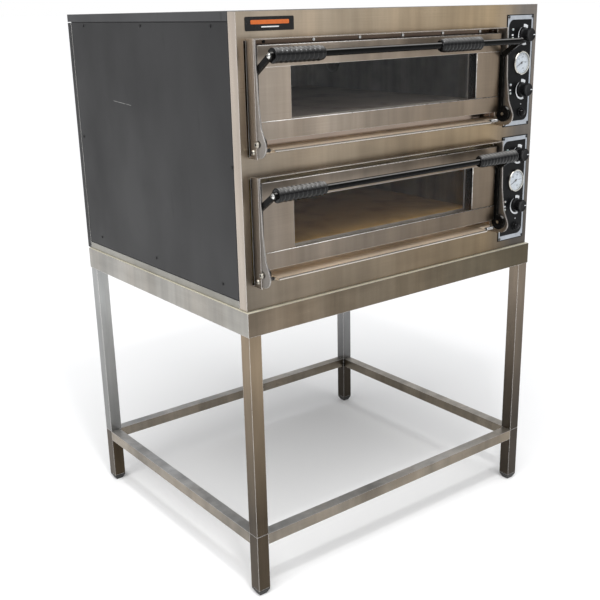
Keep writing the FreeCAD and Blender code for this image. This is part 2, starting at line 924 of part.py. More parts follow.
def make_inner_panel(name, deck):
    """The door's rear pan, with a tunnel that holds the panes apart."""
    body = new_body(f"{name}_door_inner_panel", deck_frame(deck))
    outer = rectangle("-door_half", "door_half", "-door_bottom", "-door_top")
    hollow = rectangle(
        "door_sheet - door_half",
        "door_half - door_sheet",
        "door_sheet - door_bottom",
        "-door_sheet - door_top",
    )
    window = rectangle("-window_half", "window_half", "-low_rail_drop", "-top_rail_drop")
    pad(body, "y", outer, "door_split", "door_rear")
    pocket(body, "y", hollow, "door_split", "door_rear - door_sheet")
    pad(body, "y", tunnel_outline("door_sheet"), glass_rear(), "door_rear - door_sheet")
    pocket(body, "y", tunnel_outline("0"), glass_rear(), "door_rear - door_sheet")
    pocket(body, "y", window, "door_rear - door_sheet", "door_rear")


def tunnel_outline(growth):
    return rectangle(
        f"-tunnel_half - {growth}",
        f"tunnel_half + {growth}",
        f"-low_rail_drop - tunnel_margin - {growth}",
        f"-top_rail_drop + tunnel_margin + {growth}",
    )


def glass_rear():
    """Depth of the outer pane's back face."""
    return "stile_front + door_sheet + glass_thickness"


def make_door_glass(name, deck):
    """The outer pane against the front pan and the inner pane in the tunnel."""
    body = new_body(f"{name}_door_glass", deck_frame(deck))
    outer = rectangle(
        "-window_half - glass_lap",
        "window_half + glass_lap",
        "-low_rail_drop - glass_lap",
        "-top_rail_drop + glass_lap",
    )
    pad(body, "y", outer, "stile_front + door_sheet", glass_rear())
    rear = "door_rear - door_sheet"
    pad(body, "y", tunnel_outline("-inner_glass_play"), f"{rear} - glass_thickness", rear)


def make_door_arms(name, deck):
    """Flat levers at the door's sides: a pivot lobe, a straight shank and an elbow out to the bar."""
    arm = new_body(f"{name}_door_arm")
    shank = polygon(
        ("arm_front", "-arm_shoulder_drop"),
        ("arm_front", "-arm_toe_drop"),
        ("arm_toe_y", "-arm_toe_drop"),
        ("arm_rear", "-arm_heel_drop"),
        ("arm_rear", "-arm_shoulder_drop"),
    )
    elbow = polygon(
        ("elbow_y + elbow_half_y", "-arm_shoulder_drop + elbow_half_z"),
        ("elbow_y - elbow_half_y", "-arm_shoulder_drop - elbow_half_z"),
        ("bar_y - elbow_half_y", "-bar_drop - elbow_half_z"),
        ("bar_y + elbow_half_y", "-bar_drop + elbow_half_z"),
    )
    bar_eye = ("bar_y", "-bar_drop")
    bosses = [("boss_y", "-boss_high_drop"), ("boss_y", "-boss_low_drop")]
    pad(arm, "x", pivot_circle("lobe_radius"), "arm_inner", "arm_outer")
    pad(arm, "x", shank, "arm_inner", "arm_outer")
    pad(arm, "x", elbow, "arm_inner", "arm_outer")
    pad(arm, "x", circles("eye_radius", bar_eye), "arm_inner", "arm_outer")
    pad(arm, "x", circles("boss_radius", *bosses), "door_half", "arm_inner")
    pocket(arm, "x", pivot_circle("pivot_radius + pivot_play"), "arm_inner", "arm_outer")
    pocket(arm, "x", circles("bar_screw_radius + bar_screw_play", bar_eye), "arm_inner", "arm_outer")
    group(f"{name}_door_arms", deck_frame(deck), [arm, mirrored(arm)])


def bar_frame(deck):
    """The handle bar's axis."""
    x, y, z = deck_frame(deck)
    return (x, f"{y} + bar_y", f"{z} - bar_drop")


def make_handle_bar(name, deck):
    body = new_body(f"{name}_handle_bar", bar_frame(deck))
    middle = ("0", "0")
    hole = circles("bar_screw_radius + bar_screw_play", middle)
    pad(body, "x", circles("bar_radius", middle), "-arm_inner", "arm_inner")
    pocket(body, "x", hole, "arm_inner - bar_screw_length", "arm_inner")
    pocket(body, "x", hole, "-arm_inner", "bar_screw_length - arm_inner")


def make_bar_screws(name, deck):
    """A domed screw through each arm into the bar's end."""
    screw = new_body(f"{name}_bar_screw")
    outline = polygon(
        ("arm_inner - bar_screw_length + bar_screw_play", "0"),
        ("arm_inner - bar_screw_length + bar_screw_play", "bar_screw_radius"),
        ("arm_outer", "bar_screw_radius"),
        ("arm_outer", "bar_screw_head"),
        ("arm_outer + bar_screw_rim", "bar_screw_head"),
        ("arm_outer + bar_screw_shoulder", "2 * bar_screw_face"),
        ("arm_outer + bar_screw_high", "bar_screw_face"),
        ("arm_outer + bar_screw_high", "0"),
    )
    turned(screw, "x", outline)
    group(f"{name}_bar_screws", bar_frame(deck), [screw, mirrored(screw)])


def make_grip(label):
    """A hand grip with broad rings along it, starting at the origin."""
    body = new_body(label)
    bore = "bar_radius + grip_play"
    core = polygon(
        ("0", bore),
        ("0", "grip_core - grip_end / 4"),
        ("grip_end / 4", "grip_core"),
        ("grip_length - grip_end / 4", "grip_core"),
        ("grip_length", "grip_core - grip_end / 4"),
        ("grip_length", bore),
    )
    turned(body, "x", core)
    ring_outline = polygon(
        ("grip_end - grip_rib_base / 2", bore),
        ("grip_end - grip_rib_base / 2", "grip_core"),
        ("grip_end - grip_rib_crest / 2", "grip_rib"),
        ("grip_end + grip_rib_crest / 2", "grip_rib"),
        ("grip_end + grip_rib_base / 2", "grip_core"),
        ("grip_end + grip_rib_base / 2", bore),
    )
    ring = turned(body, "x", ring_outline)
    pitch = "(grip_length - 2 * grip_end) / (grip_ribs - 1)"
    repeated(body, ring, "X_Axis", pitch, "grip_ribs")
    return body


def make_grips(name, deck, right_place):
    """One grip against the left arm and one at a place of its own along the bar."""
    grip = make_grip(f"{name}_grip")
    left = placed(f"{name}_grip_left", grip, ("grip_side_gap - arm_inner", "0", "0"))
    right = placed(f"{name}_grip_right", grip, (right_place, "0", "0"))
    group(f"{name}_grips", bar_frame(deck), [left, right])


# ---- hinges ----


def bolt_outline(inner, shank, head):
    """A button-head bolt along X, with its head outside the cheek."""
    return polygon(
        (inner, "0"),
        (inner, shank),
        ("surround_half", shank),
        ("surround_half", head),
        ("surround_half + bolt_head_rim", head),
        ("surround_half + bolt_head_high", "bolt_head_top"),
        ("surround_half + bolt_head_high", "0"),
    )


def make_hinge_bolts():
    """The pivot bolts and the spring pins of both doors."""
    pivot = new_body("pivot_bolt")
    turned(pivot, "x", bolt_outline("arm_inner - sheet", "pivot_radius", "bolt_head_radius"))
    pin = new_body("spring_pin")
    turned(pin, "x", bolt_outline("pin_inner", "pin_radius", "bolt_head_radius - sheet"))
    members = []
    for name, deck in DECKS:
        drop = f"{deck} * deck_pitch"
        for piece in (pivot, mirrored(pivot)):
            place = ("0", "pivot_y", f"-pivot_drop - {drop}")
            members.append(placed(f"{name}_{piece.Name}_copy", piece, place))
        for piece in (pin, mirrored(pin)):
            place = ("0", "pin_y", f"-pin_drop - {drop}")
            members.append(placed(f"{name}_{piece.Name}_copy", piece, place))
    group("hinge_bolts", deck_frame(0), members)


def make_door_springs():
    """The torsion springs on the pins, each a sleeve of its coil's size between two washers."""
    spring = new_body("door_spring")
    near = "arm_inner - sheet - spring_length"
    far = "arm_inner - sheet"
    outline = polygon(
        (near, "pin_radius"),
        (near, "washer_radius"),
        (f"{near} + washer_thick", "washer_radius"),
        (f"{near} + washer_thick", "spring_outer"),
        (f"{far} - washer_thick", "spring_outer"),
        (f"{far} - washer_thick", "washer_radius"),
        (far, "washer_radius"),
        (far, "pin_radius"),
        (f"{far} - washer_thick", "pin_radius"),
        (f"{far} - washer_thick", "spring_inner"),
        (f"{near} + washer_thick", "spring_inner"),
        (f"{near} + washer_thick", "pin_radius"),
    )
    turned(spring, "x", outline)
    members = []
    for name, deck in DECKS:
        place = ("0", "pin_y", f"-pin_drop - {deck} * deck_pitch")
        for piece in (spring, mirrored(spring)):
            members.append(placed(f"{name}_{piece.Name}_copy", piece, place))
    group("door_springs", deck_frame(0), members)


# ---- controls ----


def one_per_fascia(piece):
    """The same piece on both control panels."""
    return [
        placed(f"{name}_{piece.Name}_copy", piece, ("0", "0", f"-{deck} * fascia_pitch"))
        for name, deck in DECKS
    ]


def lamp_centres():
    """(across, height) of the pilot lamps beside the two knobs of a panel."""
    return [
        ("lamp_x", f"-{drop} {offset}")
        for drop in ("knob_high_drop", "knob_low_drop")
        for offset in ("+ lamp_above", "- lamp_below")
    ]


def make_fascias():
    """Both control panels' plates, pierced for everything that they carry."""
    members = []
    for name, deck in DECKS:
        plate = new_body(f"{name}_control_fascia")
        settle(plate, ("0", "0", f"-{deck} * fascia_pitch"))
        face = rectangle("-fascia_half", "fascia_half", "-fascia_bottom", "-fascia_top")
        pad(plate, "y", face, "-sheet", "0")
        pocket(plate, "y", fascia_holes(), "-sheet", "0")
        members.append(plate)
    group("control_fascias", fascia_frame(0), members)


def fascia_holes():
    """The holes for two knobs, a thermometer, a button, four pilot lamps and four screws."""
    knobs = [("control_x", "-knob_high_drop"), ("control_x", "-knob_low_drop")]
    corners = [
        (f"{side} * fascia_screw_x", height)
        for side in (-1, 1)
        for height in ("-fascia_top - fascia_screw_inset", "fascia_screw_inset - fascia_bottom")
    ]
    return several(
        circles("spindle_radius + spindle_clearance", *knobs),
        circles("case_radius", ("dial_x", "-dial_drop")),
        circles("collar_barrel", ("control_x", "-button_drop")),
        circles("lamp_radius", *lamp_centres()),
        circles("screw_shank_radius", *corners),
    )


def make_knob(label, deck, drop):
    """A round knob with a skirt, a pointer notch on its face and a spindle through the panel."""
    body = new_body(label, fascia_frame(deck, "control_x", "-sheet - knob_rear_gap", drop))
    outline = polygon(
        ("spindle_length", "0"),
        ("spindle_length", "spindle_radius"),
        ("0", "spindle_radius"),
        ("0", "knob_radius"),
        ("-knob_skirt", "knob_radius"),
        ("-knob_skirt - knob_step", "knob_radius - knob_step"),
        ("knob_edge - knob_depth", "knob_radius - knob_step"),
        ("-knob_depth", "knob_radius - knob_step - knob_edge"),
        ("-knob_depth", "0"),
    )
    turned(body, "y", outline)
    notch = rectangle(
        "pointer_inner",
        "knob_radius - knob_step - knob_edge",
        "-pointer_wide / 2",
        "pointer_wide / 2",
    )
    pocket(body, "y", notch, "-knob_depth", "pointer_deep - knob_depth")


def make_thermostats():
    """The switch and thermostat bodies behind the four knobs."""
    body = new_body("thermostat_bodies", fascia_frame(0))
    for deck in (0, 1):
        for drop in ("knob_high_drop", "knob_low_drop"):
            middle = f"-{drop} - {deck} * fascia_pitch"
            block = rectangle(
                "control_x - thermostat_half",
                "control_x + thermostat_half",
                f"{middle} - thermostat_half",
                f"{middle} + thermostat_half",
            )
            pad(body, "y", block, "thermostat_gap", "thermostat_gap + thermostat_deep")


def dial_frame(deck):
    """The thermometer's axis at the panel's front face."""
    return fascia_frame(deck, "dial_x", "-sheet", "dial_drop")


def make_thermometers():
    """Two dial cases: each a bezel on the panel, a barrel behind it and a pin for the needle."""
    case = new_body("thermometer_case")
    face = "dial_recess - bezel_depth"
    outline = polygon(
        (face, "0"),
        (face, "bezel_inner"),
        ("-bezel_depth", "bezel_inner"),
        ("-bezel_depth", "bezel_radius - bezel_edge"),
        ("bezel_edge - bezel_depth", "bezel_radius"),
        ("0", "bezel_radius"),
        ("0", "case_radius"),
        ("case_depth", "case_radius"),
        ("case_depth", "0"),
    )
    turned(case, "y", outline)
    pad(case, "y", circles("needle_pin", ("0", "0")), f"{face} - needle_gap - needle_thick", face)
    group("thermometer_cases", dial_frame(0), one_per_fascia(case))


def make_needle(name, deck):
    """A tapered pointer with a tail and a round hub on the dial's pin, aimed at the cold end."""
    body = new_body(f"{name}_thermometer_needle", dial_frame(deck))
    rear = "dial_recess - bezel_depth - needle_gap"
    front = f"{rear} - needle_thick"
    along = ("cos(needle_angle)", "sin(needle_angle)")

    def beside(distance, width):
        """A point at a distance along the pointer and a width to its left."""
        across = f"{distance} * {along[0]} - ({width}) * {along[1]}"
        height = f"{distance} * {along[1]} + ({width}) * {along[0]}"
        return across, height

    blade = polygon(
        beside("-needle_tail", "-needle_half"),
        beside("needle_length", "-needle_half / 3"),
        beside("needle_length", "needle_half / 3"),
        beside("-needle_tail", "needle_half"),
    )
    pad(body, "y", circles("needle_hub", ("0", "0")), front, rear)
    pad(body, "y", blade, front, rear)
    pocket(body, "y", circles("needle_bore", ("0", "0")), front, rear)


def make_dial_glasses():
    """The clear discs of both thermometers, inside their bezels."""
    body = new_body("dial_glasses", dial_frame(0))
    centres = [("0", f"-{deck} * fascia_pitch") for deck in (0, 1)]
    rear = "glass_inset + glass_thick - bezel_depth"
    pad(body, "y", circles("bezel_inner", *centres), f"{rear} - glass_thick", rear)


def make_switch_collars():
    """The fixed bezels and barrels that the light buttons slide in."""
    collar = new_body("switch_collar")
    outline = polygon(
        ("-collar_proud", "collar_bore"),
        ("-collar_proud", "collar_rim - bezel_edge"),
        ("bezel_edge - collar_proud", "collar_rim"),
        ("0", "collar_rim"),
        ("0", "collar_barrel"),
        ("collar_depth", "collar_barrel"),
        ("collar_depth", "0"),
        ("collar_depth - sheet", "0"),
        ("collar_depth - sheet", "collar_bore"),
    )
    turned(collar, "y", outline)
    place = fascia_frame(0, "control_x", "-sheet", "button_drop")
    group("switch_collars", place, one_per_fascia(collar))


def make_light_button(name, deck):
    """A domed push button that switches the chamber's lamp."""
    body = new_body(f"{name}_light_button", fascia_frame(deck, "control_x", "-sheet", "button_drop"))
    outline = polygon(
        ("button_inside", "0"),
        ("button_inside", "button_radius"),
        ("-button_side", "button_radius"),
        ("-button_shoulder", "2 * button_face"),
        ("-button_proud", "button_face"),
        ("-button_proud", "0"),
    )
    turned(body, "y", outline)


def make_indicator_lamps():
    """The small pilot lenses of both control panels."""
    body = new_body("indicator_lamps", fascia_frame(0))
    centres = [
        (across, f"{height} - {deck} * fascia_pitch")
        for deck in (0, 1)
        for across, height in lamp_centres()
    ]
    pad(body, "y", circles("lamp_radius", *centres), "-sheet - lamp_proud", "lamp_depth")


def make_chamber_lamps():
    """A lamp under a glass dome on the right wall of each chamber."""
    lamp = new_body("chamber_lamp")
    outline = polygon(
        ("0", "0"),
        ("0", "lamp_flange_radius"),
        ("-lamp_flange_thick", "lamp_flange_radius"),
        ("-lamp_flange_thick", "lamp_glass_radius"),
        ("-lamp_shoulder", "lamp_waist"),
        ("-lamp_dome", "lamp_face"),
        ("-lamp_dome", "0"),
    )
    turned(lamp, "x", outline)
    members = [placed(f"{name}_lamp", lamp, ("0", "0", f"-{deck} * deck_pitch")) for name, deck in DECKS]
    place = (
        "door_x + mouth_half",
        "front_y + chamber_lamp_y",
        f"{OVEN_TOP} - chamber_lamp_drop",
    )
    group("chamber_lamps", place, members)


# ---- stand ----


def leg_columns():
    """(left, right) and (front, rear) spans of the four square legs."""
    edge = "skirt_half - leg_set"
    across = [(f"-({edge})", f"leg_wide - ({edge})"), (f"{edge} - leg_wide", edge)]
    front = "skirt_front + leg_set"
    rear = "skirt_rear - leg_set"
    along = [(front, f"{front} + leg_wide"), (f"{rear} - leg_wide", rear)]
    return [(left, right, low, high) for left, right in across for low, high in along]


def shrunk(column, inset):
    left, right, low, high = column
    across = (f"{left} + {inset}", f"{right} - ({inset})")
    along = (f"{low} + {inset}", f"{high} - ({inset})")
    return rectangle(*across, *along)


def columns(inset="0"):
    return several(*[shrunk(column, inset) for column in leg_columns()])


def make_skirt():
    """Four L-section members under the oven: a deep apron with a flange that carries the cabinet."""
    body = new_body("stand_top_rails", STAND)
    top = "stand_height"
    low = f"{top} - skirt_high"
    section_front = l_section("skirt_front", 1, low, top)
    section_rear = l_section("skirt_rear", -1, low, top)
    pad(body, "x", section_front, "-skirt_half", "skirt_half")
    pad(body, "x", section_rear, "-skirt_half", "skirt_half")
    ends = ("skirt_front + skirt_flange", "skirt_rear - skirt_flange")
    pad(body, "y", l_section("-skirt_half", 1, low, top), *ends)
    pad(body, "y", l_section("skirt_half", -1, low, top), *ends)
    for side in (-1, 1):
        outer = f"{side} * skirt_half"
        inner = f"{side} * (skirt_half - skirt_sheet)"
        across = (outer, inner) if side < 0 else (inner, outer)
        web = rectangle(*across, low, top)
        pad(body, "y", web, "skirt_front", "skirt_rear")


def l_section(edge, inward, low, top):
    """An apron with a flange turned inwards at its top."""
    return polygon(
        (edge, low),
        (f"{edge} + {inward} * skirt_sheet", low),
        (f"{edge} + {inward} * skirt_sheet", f"{top} - skirt_sheet"),
        (f"{edge} + {inward} * skirt_flange", f"{top} - skirt_sheet"),
        (f"{edge} + {inward} * skirt_flange", top),
        (edge, top),
    )


def make_upper_legs():
    """The tubes between the apron and the lower frame."""
    body = new_body("stand_upper_legs", STAND)
    span = ("seam_high + seam_gap", "stand_height - skirt_sheet")
    pad(body, "z", columns(), *span)
    pocket(body, "z", columns("leg_wall"), *span)


def make_lower_legs():
    """The lower posts, each with a spigot that the upper leg stands on."""
    body = new_body("stand_lower_legs", STAND)
    pad(body, "z", columns(), "foot_high", "seam_high")
    pad(body, "z", columns("leg_wall + spigot_play"), "seam_high", "seam_high + spigot_high")
    pad(body, "z", columns("leg_wall"), "seam_high", "seam_high + seam_gap")
    pocket(body, "z", columns("2 * leg_wall + spigot_play"), "foot_high", "seam_high + spigot_high")


def make_lower_rails():
    """The square tubes that tie the lower posts together on all four sides."""
    body = new_body("stand_lower_rails", STAND)
    edge = "skirt_half - leg_set"
    front = "skirt_front + leg_set"
    rear = "skirt_rear - leg_set"
    across = (f"-({edge} - leg_wide)", f"{edge} - leg_wide")
    along = (f"{front} + leg_wide", f"{rear} - leg_wide")
    for axis, span, starts in (
        ("x", across, (front, f"{rear} - rail_wide")),
        ("y", along, (f"-({edge})", f"{edge} - rail_wide")),
    ):
        for start in starts:
            pad(body, axis, rail_section(start, "0"), *span)
            pocket(body, axis, rail_section(start, "leg_wall"), *span)


def rail_section(start, inset):
    """The square of a lower rail that begins at a given side, or its hollow."""
    return rectangle(
        f"{start} + {inset}",
        f"{start} + rail_wide - {inset}",
        f"seam_high - rail_wide + {inset}",
        f"seam_high - {inset}",
    )


def make_feet():
    """Plugs in the legs' ends: an insert, a collar under the tube's wall and a tapered tread."""
    members = []
    for index, column in enumerate(leg_columns()):
        foot = new_body(f"foot_{index}")
        pad(foot, "z", shrunk(column, "foot_inset"), "foot_low", "foot_high")
        insert = shrunk(column, "2 * leg_wall + foot_inset")
        pad(foot, "z", insert, "foot_high", "foot_high + foot_insert")
        add_tread(foot, column)
        members.append(foot)
    group("stand_feet", STAND, members)


def add_tread(foot, column):
    """The tread's taper from the collar down to the floor."""
    upper = new_sketch(foot, "XY_Plane", shrunk(column, "foot_inset"), "foot_low")
    lower = new_sketch(foot, "XY_Plane", shrunk(column, "foot_inset + foot_low / 2"), "0")
    loft = foot.newObject("PartDesign::AdditiveLoft", "AdditiveLoft")
    loft.Profile = upper
    loft.Sections = [lower]
    loft.Ruled = True


# ---- the whole oven ----

DECKS = (("upper", 0), ("lower", 1))
SLID_GRIP = {"upper": "slid_grip_x", "lower": "arm_inner - grip_side_gap - grip_length"}


def make_cabinet():
    make_front_panel()
    make_top_lid()
    make_base_tray()
    make_side_panels()
    make_side_frames()
    make_rear_panel()
    make_bulkhead()
    make_insulation()
    make_gland()
    make_badge()
    make_casing_screws()


def make_deck(name, deck):
    make_surround(name, deck)
    make_hinge_plates(name, deck)
    make_sill(name, deck)
    make_chamber(name, deck)
    make_stone_floor(name, deck)
    make_elements(name, deck)
    make_door_frame(name, deck)
    make_inner_panel(name, deck)
    make_door_glass(name, deck)
    make_door_arms(name, deck)
    make_handle_bar(name, deck)
    make_bar_screws(name, deck)
    make_grips(name, deck, SLID_GRIP[name])


def make_controls(name, deck):
    make_knob(f"{name}_top_heat_knob", deck, "knob_high_drop")
    make_knob(f"{name}_floor_heat_knob", deck, "knob_low_drop")
    make_needle(name, deck)
    make_light_button(name, deck)


def make_stand():
    make_skirt()
    make_upper_legs()
    make_lower_legs()
    make_lower_rails()
    make_feet()


def check_and_write():
    """Stops on any failed feature or broken shape, then writes one file per node."""
    doc.recompute()
    failed = [
        item.Name for item in doc.Objects if {"Invalid", "Error"} & set(item.State)
    ]
    if failed:
        raise RuntimeError(f"features that failed: {failed}")
    for node in nodes:
        if node.Shape.isNull() or not node.Shape.isValid() or not node.Shape.Solids:
            raise RuntimeError(f"{node.Label} has no valid solid")
    os.makedirs("parts", exist_ok=True)
    for node in nodes:
        node.Shape.exportStep(f"parts/{node.Label}.step")
        print(node.Label, len(node.Shape.Solids), round(node.Shape.Volume / 1000, 2), "cm3")


fill_sheet()
make_cabinet()
for deck_name, deck_number in DECKS:
    make_deck(deck_name, deck_number)
    make_controls(deck_name, deck_number)
make_hinge_bolts()
make_door_springs()
make_fascias()
make_thermometers()
make_thermostats()
make_dial_glasses()
make_switch_collars()
make_indicator_lamps()
make_chamber_lamps()
make_stand()
check_and_write()
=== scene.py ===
"""Looks of a two-deck electric pizza oven on an open steel stand. Lengths are in metres."""

import math

import bpy
from mathutils import Euler, Matrix, Vector


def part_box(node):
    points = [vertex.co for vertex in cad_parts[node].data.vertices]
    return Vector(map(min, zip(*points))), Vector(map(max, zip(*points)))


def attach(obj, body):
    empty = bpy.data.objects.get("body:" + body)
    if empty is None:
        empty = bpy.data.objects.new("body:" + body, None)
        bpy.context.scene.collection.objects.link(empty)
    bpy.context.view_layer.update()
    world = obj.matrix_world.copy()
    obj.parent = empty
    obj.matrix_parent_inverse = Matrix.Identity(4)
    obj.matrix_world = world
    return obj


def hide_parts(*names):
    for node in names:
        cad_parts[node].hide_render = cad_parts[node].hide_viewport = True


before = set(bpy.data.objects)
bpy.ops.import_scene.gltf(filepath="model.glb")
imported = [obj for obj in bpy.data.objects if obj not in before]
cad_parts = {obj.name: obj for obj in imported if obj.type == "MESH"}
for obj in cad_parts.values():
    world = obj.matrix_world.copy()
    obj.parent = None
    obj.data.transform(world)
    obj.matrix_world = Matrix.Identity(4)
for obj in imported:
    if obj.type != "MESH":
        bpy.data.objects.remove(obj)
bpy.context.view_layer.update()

MM = 0.001
DECKS = ("upper", "lower")
OVEN_TOP = 1.45
DECK_PITCH = 0.3
FASCIA_PITCH = 0.327
FASCIA_X = 0.431
DOOR_X = -0.0635
FASCIA_FACE = -0.389
KNOB_X = 0.448
KNOB_DROPS = (0.0795, 0.226)
KNOB_NAMES = ("top_heat_knob", "floor_heat_knob")
LAMP_X = 0.4
DIAL_X = 0.44
DIAL_DROP = 0.154
DIAL_FACE = -0.3905


# ---- node trees ----

COLOUR_SOCKETS = slice(6, 8)
COLOUR_RESULT = 2


class Shader:
    """A material's node tree, with short ways to add nodes and join them."""

    def __init__(self, name):
        self.material = bpy.data.materials.new(name)
        self.material.use_nodes = True
        self.nodes = self.material.node_tree.nodes
        self.links = self.material.node_tree.links
        self.surface = self.nodes["Principled BSDF"]
        self.place = self.nodes.new("ShaderNodeTexCoord").outputs["Object"]

    def put(self, socket, value):
        """Feeds one of the surface's own sockets."""
        self.feed(self.surface.inputs[socket], value)

    def feed(self, target, value):
        """Joins an output to a socket, or sets the socket to a number, vector or colour."""
        if isinstance(value, bpy.types.NodeSocket):
            self.links.new(value, target)
        elif target.type == "RGBA":
            target.default_value = (*value, 1)
        else:
            target.default_value = value

    def noise(self, scale, detail=4, roughness=0.55):
        """Noise from nought to one, mostly near a half; its scale is one number or one per axis."""
        mapping = self.nodes.new("ShaderNodeMapping")
        mapping.inputs["Scale"].default_value = scale if isinstance(scale, tuple) else (scale,) * 3
        self.links.new(self.place, mapping.inputs["Vector"])
        texture = self.nodes.new("ShaderNodeTexNoise")
        texture.inputs["Scale"].default_value = 1
        texture.inputs["Detail"].default_value = detail
        texture.inputs["Roughness"].default_value = roughness
        self.links.new(mapping.outputs["Vector"], texture.inputs["Vector"])
        return texture.outputs["Fac"]

    def spread(self, value, low=0, high=1, start=0.3, end=0.7):
        """The value's range from start to end, laid over low to high."""
        node = self.nodes.new("ShaderNodeMapRange")
        node.inputs["From Min"].default_value = start
        node.inputs["From Max"].default_value = end
        node.inputs["To Min"].default_value = low
        node.inputs["To Max"].default_value = high
        self.links.new(value, node.inputs["Value"])
        return node.outputs["Result"]

    def mix(self, factor, first, second):
        """The first colour turned into the second by a factor."""
        node = self.nodes.new("ShaderNodeMix")
        node.data_type = "RGBA"
        self.links.new(factor, node.inputs["Factor"])
        for socket, value in zip(node.inputs[COLOUR_SOCKETS], (first, second)):
            self.feed(socket, value)
        return node.outputs[COLOUR_RESULT]

    def across(self, left, right):
        """Nought to one from a left place to a right one."""
        return self.spread(self.axis("X"), 0, 1, left, right)

    def upwards(self, foot, top, low=0, high=1):
        """A value that goes from low to high between two heights."""
        return self.spread(self.axis("Z"), low, high, foot, top)

    def axis(self, name):
        """One coordinate of the place on the part."""
        node = self.nodes.new("ShaderNodeSeparateXYZ")
        self.links.new(self.place, node.inputs["Vector"])
        return node.outputs[name]

    def scaled(self, colour, factor):
        """A colour times a value."""
        node = self.nodes.new("ShaderNodeVectorMath")
        node.operation = "SCALE"
        self.links.new(colour, node.inputs["Vector"])
        self.links.new(factor, node.inputs["Scale"])
        return node.outputs["Vector"]

    def tinted(self, colour, tint):
        """A colour times another."""
        return self.vector("MULTIPLY", colour, tint)

    def math(self, operation, first, second):
        """One step of arithmetic on two values."""
        node = self.nodes.new("ShaderNodeMath")
        node.operation = operation
        for socket, value in zip(node.inputs, (first, second)):
            self.feed(socket, value)
        return node.outputs["Value"]

    def vector(self, operation, first, second):
        """One step of vector arithmetic; the dot product comes out as a value."""
        node = self.nodes.new("ShaderNodeVectorMath")
        node.operation = operation
        for socket, value in zip(node.inputs, (first, second)):
            self.feed(socket, value)
        return node.outputs["Value" if operation == "DOT_PRODUCT" else "Vector"]

    def facing(self, way, low, high):
        """A mask that is 1 where the part's surface faces a way, and 0 from a given turn away from it."""
        normal = self.nodes.new("ShaderNodeTexCoord").outputs["Normal"]
        alike = self.vector("DOT_PRODUCT", normal, Vector(way).normalized())
        return self.spread(alike, 0, 1, low, high)

    def rounded(self, radius):
        """Shading normals as if edges were rounded, and a mask that is 1 on those edges."""
        bevel = self.nodes.new("ShaderNodeBevel")
        bevel.samples = 4
        bevel.inputs["Radius"].default_value = radius
        flat = self.nodes.new("ShaderNodeNewGeometry").outputs["True Normal"]
        alike = self.vector("DOT_PRODUCT", bevel.outputs["Normal"], flat)
        return bevel.outputs["Normal"], self.spread(alike, 1, 0, 0.8, 0.995)

    def bump(self, height, strength, distance, normal=None):
        """Relief from a height, laid over the given shading normals."""
        node = self.nodes.new("ShaderNodeBump")
        node.inputs["Strength"].default_value = strength
        node.inputs["Distance"].default_value = distance
        self.links.new(height, node.inputs["Height"])
        if normal is not None:
            self.links.new(normal, node.inputs["Normal"])
        self.put("Normal", node.outputs["Normal"])

    def brushed_across(self, grain):
        """Spreads reflections across the grain, which leans a little so that no face is square to it."""
        turn = self.nodes.new("ShaderNodeVectorTransform")
        turn.vector_type = "VECTOR"
        turn.convert_from = "OBJECT"
        turn.convert_to = "WORLD"
        turn.inputs["Vector"].default_value = Vector(grain) + Vector(GRAIN_LEAN)
        normal = self.nodes.new("ShaderNodeNewGeometry").outputs["True Normal"]
        self.put("Tangent", self.vector("CROSS_PRODUCT", normal, turn.outputs["Vector"]))


def dimmed(colour, factor):
    return tuple(channel * factor for channel in colour)


# ---- materials ----

GRAINS = {"x": (1, 0, 0), "y": (0, 1, 0), "z": (0, 0, 1)}
GRAIN_LEAN = (0.04, 0.02, 0.01)
SHEET_ENDS = (-0.45, 0.45)
END_TONE_FROM_TO = (0.32, 0.44)
HEAT_TINT = (1.05, 0.86, 0.66)
# Bare metal with a painted highlight along the steel's rounded edges.
BARE_AND_LIT_EDGE = (0.92, 0.9, 0.88)


def stretched(grain, along, across):
    """A noise scale that is long along the grain and fine across it."""
    return tuple(along if part else across for part in GRAINS[grain])


def brushed_steel(name, tones, grain, roughness=0.24, smear=0.2, aged=0.0, end=None):
    """Brushed sheet: a tone at the left, one at the right, how dark its foot is, and between which heights;
    the left-to-right change and the darker foot are painted light and shade.

    A further tone of painted shade may take over at the sheet's right end.
    """
    left, right, foot, heights = tones
    shader = Shader(name)
    fine = shader.noise(stretched(grain, 5, 1600), 3)
    streak = shader.noise((22, 22, 1.3), 4, 0.6)
    warm = shader.noise((9, 9, 1.1), 3)
    broad = shader.noise((5, 5, 2.2), 2)
    cloud = shader.noise(stretched(grain, 6, 22), 4, 0.55)
    normal, edge = shader.rounded(2 * MM)
    # Painted light and shade: the tone changes from the sheet's left to its right, and at the right end it
    # may go over to a darker tone.
    tone = shader.mix(shader.across(*SHEET_ENDS), left, right)
    if end:
        tone = shader.mix(shader.across(*END_TONE_FROM_TO), tone, end)
    warmth = shader.spread(warm, 0, smear, 0.42, 0.7)
    tone = shader.mix(warmth, tone, shader.tinted(tone, HEAT_TINT))
    # Painted shade: the sheet darkens towards its foot.
    shade = shader.upwards(*heights, foot, 1)
    shade = shader.math("MULTIPLY", shade, shader.spread(broad, 1 - smear, 1 + smear))
    shade = shader.math("MULTIPLY", shade, shader.spread(streak, 1 - smear, 1 + smear))
    shade = shader.math("MULTIPLY", shade, shader.spread(cloud, 1, 0.93 - aged))
    shade = shader.math("MULTIPLY", shade, shader.spread(fine, 0.93, 1.07))
    tone = shader.scaled(tone, shade)
    # Bare, rubbed edges with a painted highlight: near-white colour along every rounded edge.
    tone = shader.mix(shader.math("MULTIPLY", edge, 0.85), tone, BARE_AND_LIT_EDGE)
    shader.put("Base Color", tone)
    shader.put("Metallic", 1.0)
    shader.put("Anisotropic", 0.55)
    shader.brushed_across(GRAINS[grain])
    clouded = shader.spread(cloud, roughness, roughness + 0.08)
    shader.put("Roughness", shader.math("ADD", shader.spread(fine, -0.03, 0.03), clouded))
    shader.bump(fine, 0.03, 0.02 * MM, normal)
    return shader.material


